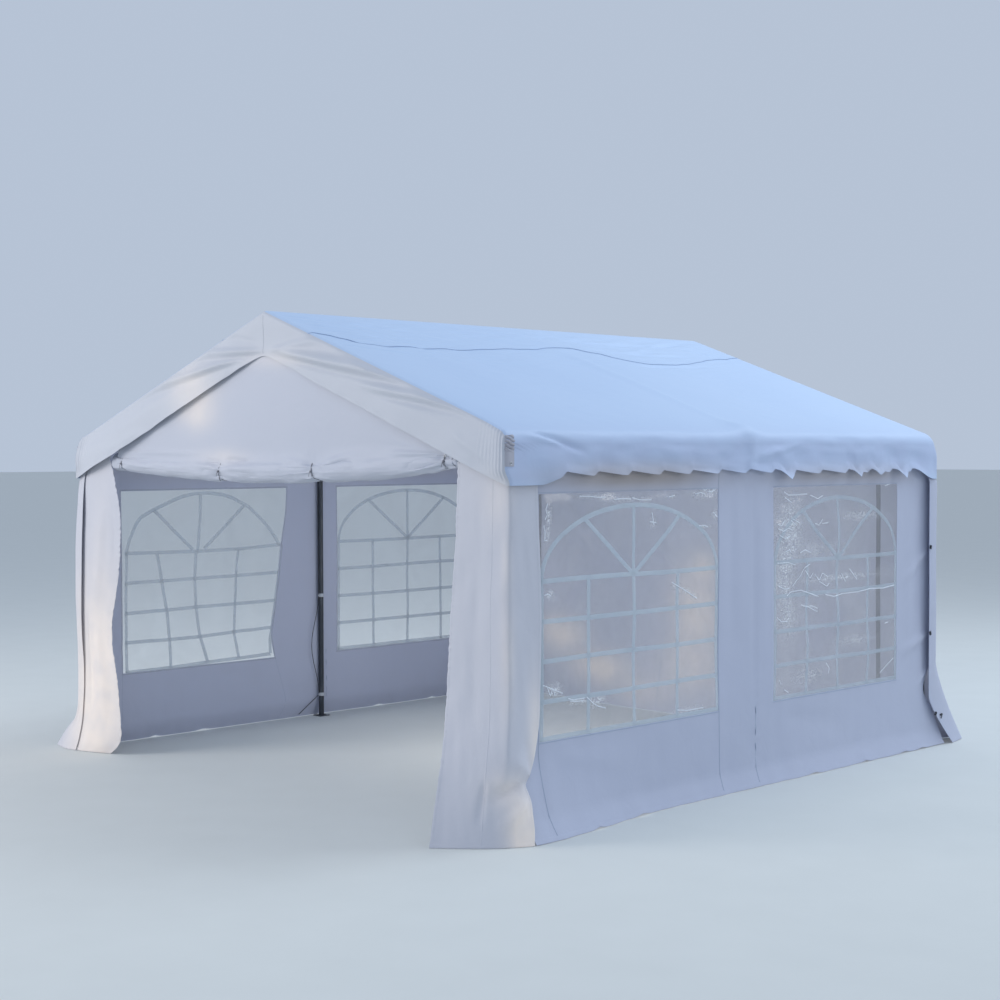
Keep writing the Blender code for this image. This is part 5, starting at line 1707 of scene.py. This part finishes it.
# white glints of reflected light painted along creases of the right-hand films: lines of (y, z)
GLINT_STROKES = (
    ((-1.459, 1.733), (-1.372, 1.73), (-1.299, 1.722), (-1.255, 1.725)),
    ((-1.196, 1.71), (-1.121, 1.713), (-1.048, 1.709)), ((-1.036, 1.716), (-0.968, 1.703), (-0.871, 1.703)),
    ((-0.728, 1.714), (-0.67, 1.721)),
    ((-0.428, 1.76), (-0.403, 1.743), (-0.369, 1.757), (-0.344, 1.725), (-0.318, 1.756)),
    ((-0.487, 1.726), (-0.437, 1.733), (-0.403, 1.722)), ((-0.378, 1.734), (-0.318, 1.741), (-0.3, 1.752)),
    ((-0.335, 1.62), (-0.292, 1.592)), ((-0.456, 1.546), (-0.411, 1.546), (-0.377, 1.537)),
    ((-0.871, 1.632), (-0.862, 1.591), (-0.855, 1.561)), ((-0.89, 1.582), (-0.837, 1.576)),
    ((-1.703, 1.7), (-1.717, 1.669), (-1.706, 1.645), (-1.72, 1.617)),
    ((-1.726, 1.589), (-1.717, 1.551), (-1.72, 1.509), (-1.701, 1.513)),
    ((-1.732, 1.231), (-1.71, 1.237), (-1.682, 1.226)), ((-0.702, 1.241), (-0.602, 1.197), (-0.478, 1.137)),
    ((-1.711, 0.755), (-1.689, 0.71), (-1.67, 0.751), (-1.65, 0.709)),
    ((-1.74, 0.77), (-1.714, 0.76), (-1.589, 0.714)), ((-1.544, 0.682), (-1.504, 0.67), (-1.418, 0.671)),
    ((-1.529, 0.667), (-1.472, 0.659), (-1.423, 0.66)),
    ((-1.4, 0.677), (-1.36, 0.643), (-1.313, 0.617), (-1.254, 0.601)),
    ((-0.65, 0.524), (-0.568, 0.512), (-0.418, 0.512)),
    ((0.351, 1.724), (0.402, 1.701), (0.503, 1.702), (0.586, 1.705)),
    ((0.617, 1.697), (0.69, 1.674), (0.753, 1.692)), ((0.361, 1.688), (0.432, 1.657)),
    ((0.286, 1.531), (0.322, 1.518), (0.352, 1.549)),
    ((0.294, 1.502), (0.338, 1.486), (0.392, 1.504), (0.427, 1.488)),
    ((0.302, 1.466), (0.346, 1.443), (0.407, 1.456)), ((0.412, 1.551), (0.473, 1.517)),
    ((0.439, 1.556), (0.5, 1.533)), ((0.682, 1.522), (0.723, 1.511), (0.754, 1.547)),
    ((0.754, 1.52), (0.814, 1.523)), ((0.355, 1.364), (0.393, 1.378), (0.407, 1.356)),
    ((0.505, 1.351), (0.567, 1.367), (0.633, 1.346)), ((0.283, 1.298), (0.383, 1.298), (0.464, 1.279)),
    ((0.299, 1.16), (0.364, 1.139), (0.414, 1.142)),
    ((0.384, 1.096), (0.434, 1.119), (0.526, 1.123), (0.599, 1.104), (0.714, 1.073)),
    ((0.444, 1.152), (0.505, 1.196), (0.563, 1.259), (0.619, 1.277)),
    ((0.567, 1.241), (0.619, 1.19), (0.65, 1.224)),
    ((0.671, 1.211), (0.714, 1.173), (0.756, 1.216), (0.816, 1.189)),
    ((0.714, 1.167), (0.799, 1.131), (0.833, 1.148)),
    ((0.788, 1.081), (0.885, 1.063), (0.972, 1.074), (1.149, 1.076)),
    ((1.149, 1.076), (1.284, 1.088), (1.446, 1.081), (1.575, 1.094)),
    ((0.531, 1.033), (0.61, 1.016), (0.715, 0.979)), ((0.558, 1.023), (0.651, 1.019), (0.715, 1.0)),
    ((0.976, 1.201), (1.015, 1.15)), ((1.059, 1.228), (1.137, 1.155)),
    ((0.284, 0.973), (0.324, 0.946), (0.384, 0.944)), ((0.784, 0.659), (0.823, 0.623), (0.812, 0.591)),
    ((0.366, 0.534), (0.41, 0.512)), ((0.305, 0.605), (0.33, 0.568)), ((1.422, 0.535), (1.566, 0.618)),
    ((1.459, 1.741), (1.534, 1.755)), ((1.447, 0.854), (1.489, 0.861)),
)
# the painted glints: pale strokes that stand for light reflected along the film's creases
GLINT_WIDTH = 0.006
GLINT_LIFT = 0.0016
GLINT_STEP = 0.01
GLINT_PAINT = cord_finish("painted_film_glints", (0.66, 0.7, 0.76), (0.86, 0.89, 0.94), 60.0)
# where glints of reflected light are painted on the right-hand films: (y, z, reach along y, reach up,
# strength)
FILM_GLINT_PLACES = (
    (-1.34, 1.728, 0.14, 0.007, 1.0), (-1.08, 1.708, 0.19, 0.008, 1.3), (-0.7, 1.717, 0.05, 0.008, 0.9),
    (-0.4, 1.725, 0.11, 0.026, 1.0), (-0.31, 1.606, 0.035, 0.026, 0.9), (-0.43, 1.541, 0.08, 0.01, 0.9),
    (-0.86, 1.585, 0.03, 0.04, 0.6), (-1.69, 1.64, 0.016, 0.06, 1.0), (-1.7, 1.54, 0.016, 0.05, 0.9),
    (-1.69, 1.234, 0.035, 0.022, 1.0), (-1.66, 0.74, 0.06, 0.034, 1.1), (-1.46, 0.668, 0.08, 0.018, 1.5),
    (-1.32, 0.65, 0.07, 0.03, 1.0), (-0.55, 0.523, 0.13, 0.012, 0.8), (-0.66, 1.22, 0.03, 0.014, 1.2),
    (-0.58, 1.188, 0.04, 0.014, 1.2), (-0.5, 1.154, 0.03, 0.012, 1.1), (0.42, 1.52, 0.12, 0.18, 0.8),
    (0.36, 1.25, 0.09, 0.22, 0.9), (0.7, 1.36, 0.16, 0.06, 0.6), (0.95, 1.18, 0.35, 0.016, 1.1),
    (0.4, 0.96, 0.08, 0.12, 0.7), (1.2, 1.56, 0.2, 0.03, 0.7), (1.1, 0.78, 0.2, 0.03, 0.6),
    (0.6, 0.6, 0.16, 0.05, 0.6),
)
FILM_X = 1.98
FILM_REACH = 0.04
FILM_GLINT_SPOTS = [((FILM_X, y, z), (FILM_REACH, wide, tall), strength)
          for y, z, wide, tall, strength in FILM_GLINT_PLACES]
FILM_CRUMPLE = {
    ("right", "front"): 0.55, ("right", "back"): 1.0, ("left", "front"): 0.5, ("left", "back"): 0.4,
}
for number, ((side, part), strength) in enumerate(FILM_CRUMPLE.items()):
    way = WAYS[side]
    span = window_span(side, part)
    place = film_place(side, span, strength, 110 + 10 * number)
    first, last = sorted((way * span[0], way * span[1]))
    columns = cut_lines(first - FILM_LAP, last + FILM_LAP, FILM_CELL, ())
    rows = cut_lines(span[2] - FILM_LAP, span[3] + FILM_LAP, FILM_CELL, ())
    film = cloth(f"window_sheet_{part}_{side}", columns, rows, place, FILMS[side],
                 FILM_THICKNESS)
    # where glints of reflected light are painted on this film
    spotted(film, "glint_zone", FILM_GLINT_SPOTS)
    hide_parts(f"window_film_{part}_{side}")
    slack = (side, part) == ("left", "front")
    lines = sagging(SLACK_BARS) if slack else glazing(side, span, 300 + 20 * number)
    finish = WORN_BAR if (side, part) == ("right", "back") else BAR
    bars = [tape("bar", place, line, BAR_WIDTH, finish, BAR_LIFT, BAR_STEP, "window_film", BAR_THICKNESS)
            for line in lines]
    joined(bars, f"window_bars_{part}_{side}")
    # pale strokes laid on the film as painted glints along its creases
    glint_strokes = [tape("glint_stroke", place, line, GLINT_WIDTH, GLINT_PAINT, GLINT_LIFT, GLINT_STEP, "window_film",
                    BAR_THICKNESS)
               for line in GLINT_STROKES if side == "right" and span[0] < line[0][0] < span[1]]
    if glint_strokes:
        joined(glint_strokes, f"window_glints_{part}_{side}")

# The back wall closes the tent up to the roof. It wraps round both corner legs, where its loose
# corners flare out over the ground, and a zip near either leg lets its middle be rolled up.
BACK_FACE = 1.98
BACK_CORNER = 1.98
BACK_FLAP = 0.1
BACK_TOP = 2.0
BACK_ROWS = 80
ZIP_X = 1.586
ZIP_TAPE = 0.03
ZIP_TOP = 1.96
BACK_SEAM_X = -0.28
BACK_MIDDLE = 1.75
BACK_WAVES = (0.006, 0.004, 0.006)
ZIP_PUCKER = 0.0022
# by the distance past the corner: how far the sheet stands off there in x and y, its hem's further
# shift in x and y, and the height where that starts
BACK_STAND = (
    (-1.98, 0.0, 0.0, 0.0, -0.11, 0.7), (-1.2, 0.0, 0.0, 0.0, -0.085, 0.7),
    (-0.7, 0.0, 0.005, 0.0, -0.02, 0.62), (-0.4, 0.003, 0.015, -0.004, 0.015, 0.6),
    (-0.18, 0.022, 0.048, -0.01, 0.13, 0.56), (0.0, 0.042, 0.064, -0.024, 0.38, 0.55),
    (0.1, 0.036, 0.06, 0.032, 0.254, 0.33),
)
BACK_FOLDS = (
    ((1.5, 1.65), (0.7, 1.05), (0.02, 0.07), 0.01), ((-1.5, 1.6), (-0.8, 0.9), (0.02, 0.07), 0.009),
    ((1.52, 0.3), (0.7, 0.5), (0.02, 0.08), -0.01), ((-1.52, 0.3), (-0.6, 0.42), (0.02, 0.08), 0.01),
    ((0.25, 1.9), (0.2, 0.4), (0.03, 0.06), -0.006), ((0.9, 2.15), (0.3, 1.5), (0.02, 0.08), 0.006),
    ((-0.9, 2.15), (-0.2, 1.6), (0.02, 0.08), -0.006),
)


def back_plan(u, v):
    """Where the back wall stands, seen from above: straight across, round each corner and along it."""
    side = np.where(u < 0, 1.0, -1.0)
    past = np.abs(u) - BACK_CORNER
    corner = np.broadcast_to([BACK_CORNER, BACK_FACE], (len(u), 2))
    point = round_corner(corner, np.array([[-1.0, 0.0]]), np.array([[0.0, -1.0]]), past, STRIP_BEND)
    stand, hem = curved_pair(BACK_STAND, past), curved_pair(BACK_STAND, past, (3, 4))
    spread = ground_flare(v, curved(BACK_STAND, past, 5), 1.25)
    tucked = 1 - eased(v, 1.76, 1.86)
    point = point + stand * tucked[:, None] + hem * spread[:, None]
    return np.stack((point[:, 0] * side, point[:, 1]), 1)


def back_place(u, v):
    """Puts a (u, v) point of the back wall in place. u runs rightwards seen from behind."""
    points = back_plan(u, v)
    ends = 1 - eased(np.abs(u), 1.55, 1.8)
    broad, upright_waves, low = BACK_WAVES
    out = broad * ripple(u, v, 0.75, 131) + upright_waves * ripple(u, v, 0.3, 132, 3.0)
    out = out * (0.25 + 0.75 * ends)
    out = out + folds(u, v, BACK_FOLDS) + low * ripple(u, v * 0.3, 0.3, 133) * (1 - eased(v, 0.02, 0.25))
    out = out + ZIP_PUCKER * ripple(u * 0.5, v, 0.09, 134) * np.exp(-(np.abs(np.abs(u) - ZIP_X) / 0.035))
    out = out * (1 - 0.8 * eased(v, 1.85, 2.0))
    points = points + plan_out(back_plan, u, v) * out[:, None]
    return np.column_stack((points, hung_height(points[:, 0], v, BACK_TOP)))


back_end = BACK_CORNER + BACK_FLAP
back_columns = stepped(-back_end, (-BACK_MIDDLE, 20), (BACK_MIDDLE, 112), (back_end, 20))
back_levels = stepped(0, (STRIP_LEVEL, BACK_ROWS), (BACK_TOP, 20))
back_parts = [
    cloth("back", back_columns, back_levels, back_place, BACK),
    tape("hem", back_place, [(-back_end, HEM_AT), (back_end, HEM_AT)], HEM_WIDTH, BACK, lift=0.0003,
         step=0.02),
    tape("seam", back_place, wavy((-BACK_SEAM_X, 0.02), (-BACK_SEAM_X, BACK_TOP - 0.01), 5), THREAD_WIDTH,
         THREAD, **THROUGH),
]
for way in (-1, 1):
    flap_line = upright(way * (back_end - 0.008), high=1.95)[::-1]
    back_parts.append(tape("flap_hem", back_place, flap_line, 0.014, WALL, lift=0.0008, step=0.015))
back_wall = joined(back_parts, "back_wall_sheet")
# the painted sunlit patches are on its inner face alone
for point, share in zip(back_wall.data.vertices, back_wall.data.attributes["painted_sunlight"].data):
    if point.normal.y > 0:
        share.value = 0
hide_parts("back_wall")

# Two zips part the back wall near its legs. Each is a dark folded tape sewn on the sheet, with a line
# of nylon teeth down its middle, and a zinc slider and its pull near the ground.
TEETH_WIDTH = 0.005
SLIDER_HEIGHT = 0.12
SLIDER_SIZE = (0.011, 0.006, 0.016)
PULL_SIZE = (0.006, 0.002, 0.026)
ZIP_LIFT = 0.0014
TEETH_LIFT = 0.0028
ZIP_TONE = cord_finish("zip_tape", (0.16, 0.17, 0.2), (0.24, 0.25, 0.29), 300.0)
zips = []


def zip_block(place, size, edge):
    """A small zinc block with rounded edges. edge is a share of its size."""
    bpy.ops.mesh.primitive_cube_add(size=1, location=place)
    block = bpy.context.object
    block.scale = size
    edited(lambda: bpy.ops.mesh.bevel(offset=edge, segments=2))
    block.data.materials.append(ZINC)
    return block


for way in (-1, 1):
    line = wavy((way * ZIP_X, 0.02), (way * ZIP_X, ZIP_TOP), 40 + way)
    zips.append(tape("zip_tape", back_place, line, ZIP_TAPE, ZIP_TONE, lift=ZIP_LIFT,
                     thickness=SHEET_THICKNESS + 2 * ZIP_LIFT))
    zips.append(tape("zip_teeth", back_place, line, TEETH_WIDTH, DARK_CORD, lift=TEETH_LIFT, step=0.015))
    spot = back_place(np.array([way * ZIP_X]), np.array([SLIDER_HEIGHT]))[0]
    zips.append(zip_block((spot[0], spot[1] + 0.006, spot[2]), SLIDER_SIZE, 0.18))
    zips.append(zip_block((spot[0], spot[1] + 0.01, spot[2] - 0.02), PULL_SIZE, 0.2))
back_zips = joined(zips, "back_zips")
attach(back_zips, "root")

# Beside each middle leg runs a thin braided cord, held by two pale plastic clips that also grip the
# leg. The cord is the CAD piece, and the clips are added here.
CLIP_HEIGHTS = (0.9, 0.16)
CLIP_LENGTH = 0.026
CLIP_WALL = 0.0022
CLIP_ROOM = 0.0004
CORD_RADIUS = 0.0025
CORD_ROOM = 0.0003
LOOP_GAP = 0.0022
LOOP_WIRE = 0.0014
LOOP_HEIGHT = 4


def clip_finish():
    """Pale moulded plastic with a dull, slightly pitted skin."""
    material, tree, shader, place = finish_named("pale_clip", (0.52, 0.54, 0.58), 0.5)
    pits = node(tree, "TexNoise", {"Vector": place, "Scale": 380.0, "Detail": 2.0})
    mottled(tree, shader, pits.outputs["Fac"], (0.46, 0.48, 0.52), (0.6, 0.62, 0.66))
    relief(tree, shader, pits.outputs["Fac"], 0.2, 0.0004)
    return material


CLIP = clip_finish()
for side in ("left", "right"):
    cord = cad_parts[f"leg_cord_{side}"]
    coated(cord, DARK_CORD)
    cord.data.shade_smooth()


def leg_clip(side, height):
    """A band round the leg with a small loop on its front for the cord."""
    x = LEG_X[side]
    outer = TUBE_RADIUS + CLIP_ROOM + CLIP_WALL
    band = hoop(outer - CLIP_WALL / 2, CLIP_WALL / 2, (40, 8), (x, 0, height))
    bpy.ops.transform.resize(value=(1, 1, CLIP_LENGTH / CLIP_WALL))
    front = -TUBE_RADIUS - CORD_RADIUS - CORD_ROOM
    loop = hoop(CORD_RADIUS + LOOP_GAP, LOOP_WIRE, (24, 8), (x, front, height))
    bpy.ops.transform.resize(value=(1, 1, LOOP_HEIGHT))
    return joined([band, loop], "clip")


clips = [leg_clip(side, height) for side in ("left", "right") for height in CLIP_HEIGHTS]
leg_clips = joined(clips, "leg_clips")
leg_clips.data.shade_smooth()
finished(leg_clips, CLIP)

# The flaps at the back corners are laced to the side walls with short loops of cord and dark toggles:
# one at shoulder height, one at the hip and two near the ground, on each corner.
TOGGLE_LENGTH = 0.026
TOGGLE_RADIUS = 0.0062
TOGGLE_EDGE = TOGGLE_RADIUS * 0.6
LACE_RADIUS = 0.0016
LOOP_REACH = 0.016
# (height, distance before the back flap's own edge, turn of the toggle)
TOGGLE_SPOTS = ((1.326, 0.004, 1.2), (0.754, 0.003, 1.9), (0.215, -0.004, 0.9), (0.2, 0.022, 0.2))


def toggle():
    """A round-ended toggle lying on the XY plane with a loop of cord through it."""
    barrel = drum(18, TOGGLE_RADIUS, TOGGLE_LENGTH, (0, 0, TOGGLE_RADIUS), TOGGLE_EDGE, 4, LAID)
    loop = []
    for step in spaced(0, 1, 22):
        angle = math.tau * step
        loop.append((LOOP_REACH * 0.55 * math.sin(angle), -LOOP_REACH * (1 - math.cos(angle)) * 0.9,
                     TOGGLE_RADIUS + 0.004 * math.cos(angle)))
    piece = joined([barrel, cord_line(loop, LACE_RADIUS, "loop")], "toggle")
    bpy.ops.object.shade_smooth_by_angle(angle=SMOOTH_ANGLE)
    return piece


toggle_places = []
for way in (-1, 1):
    for height, before, turn in TOGGLE_SPOTS:
        at = np.array([way * (back_end - before)]), np.array([height])
        spot = stood_off(back_place, *at, np.array([0.001]))[0]
        outward = (-way, 0.15, 0)
        toggle_places.append(standing(spot, outward) @ Matrix.Rotation(turn, 4, "Z"))
copies(toggle(), toggle_places, "corner_toggles", DARK_CORD)
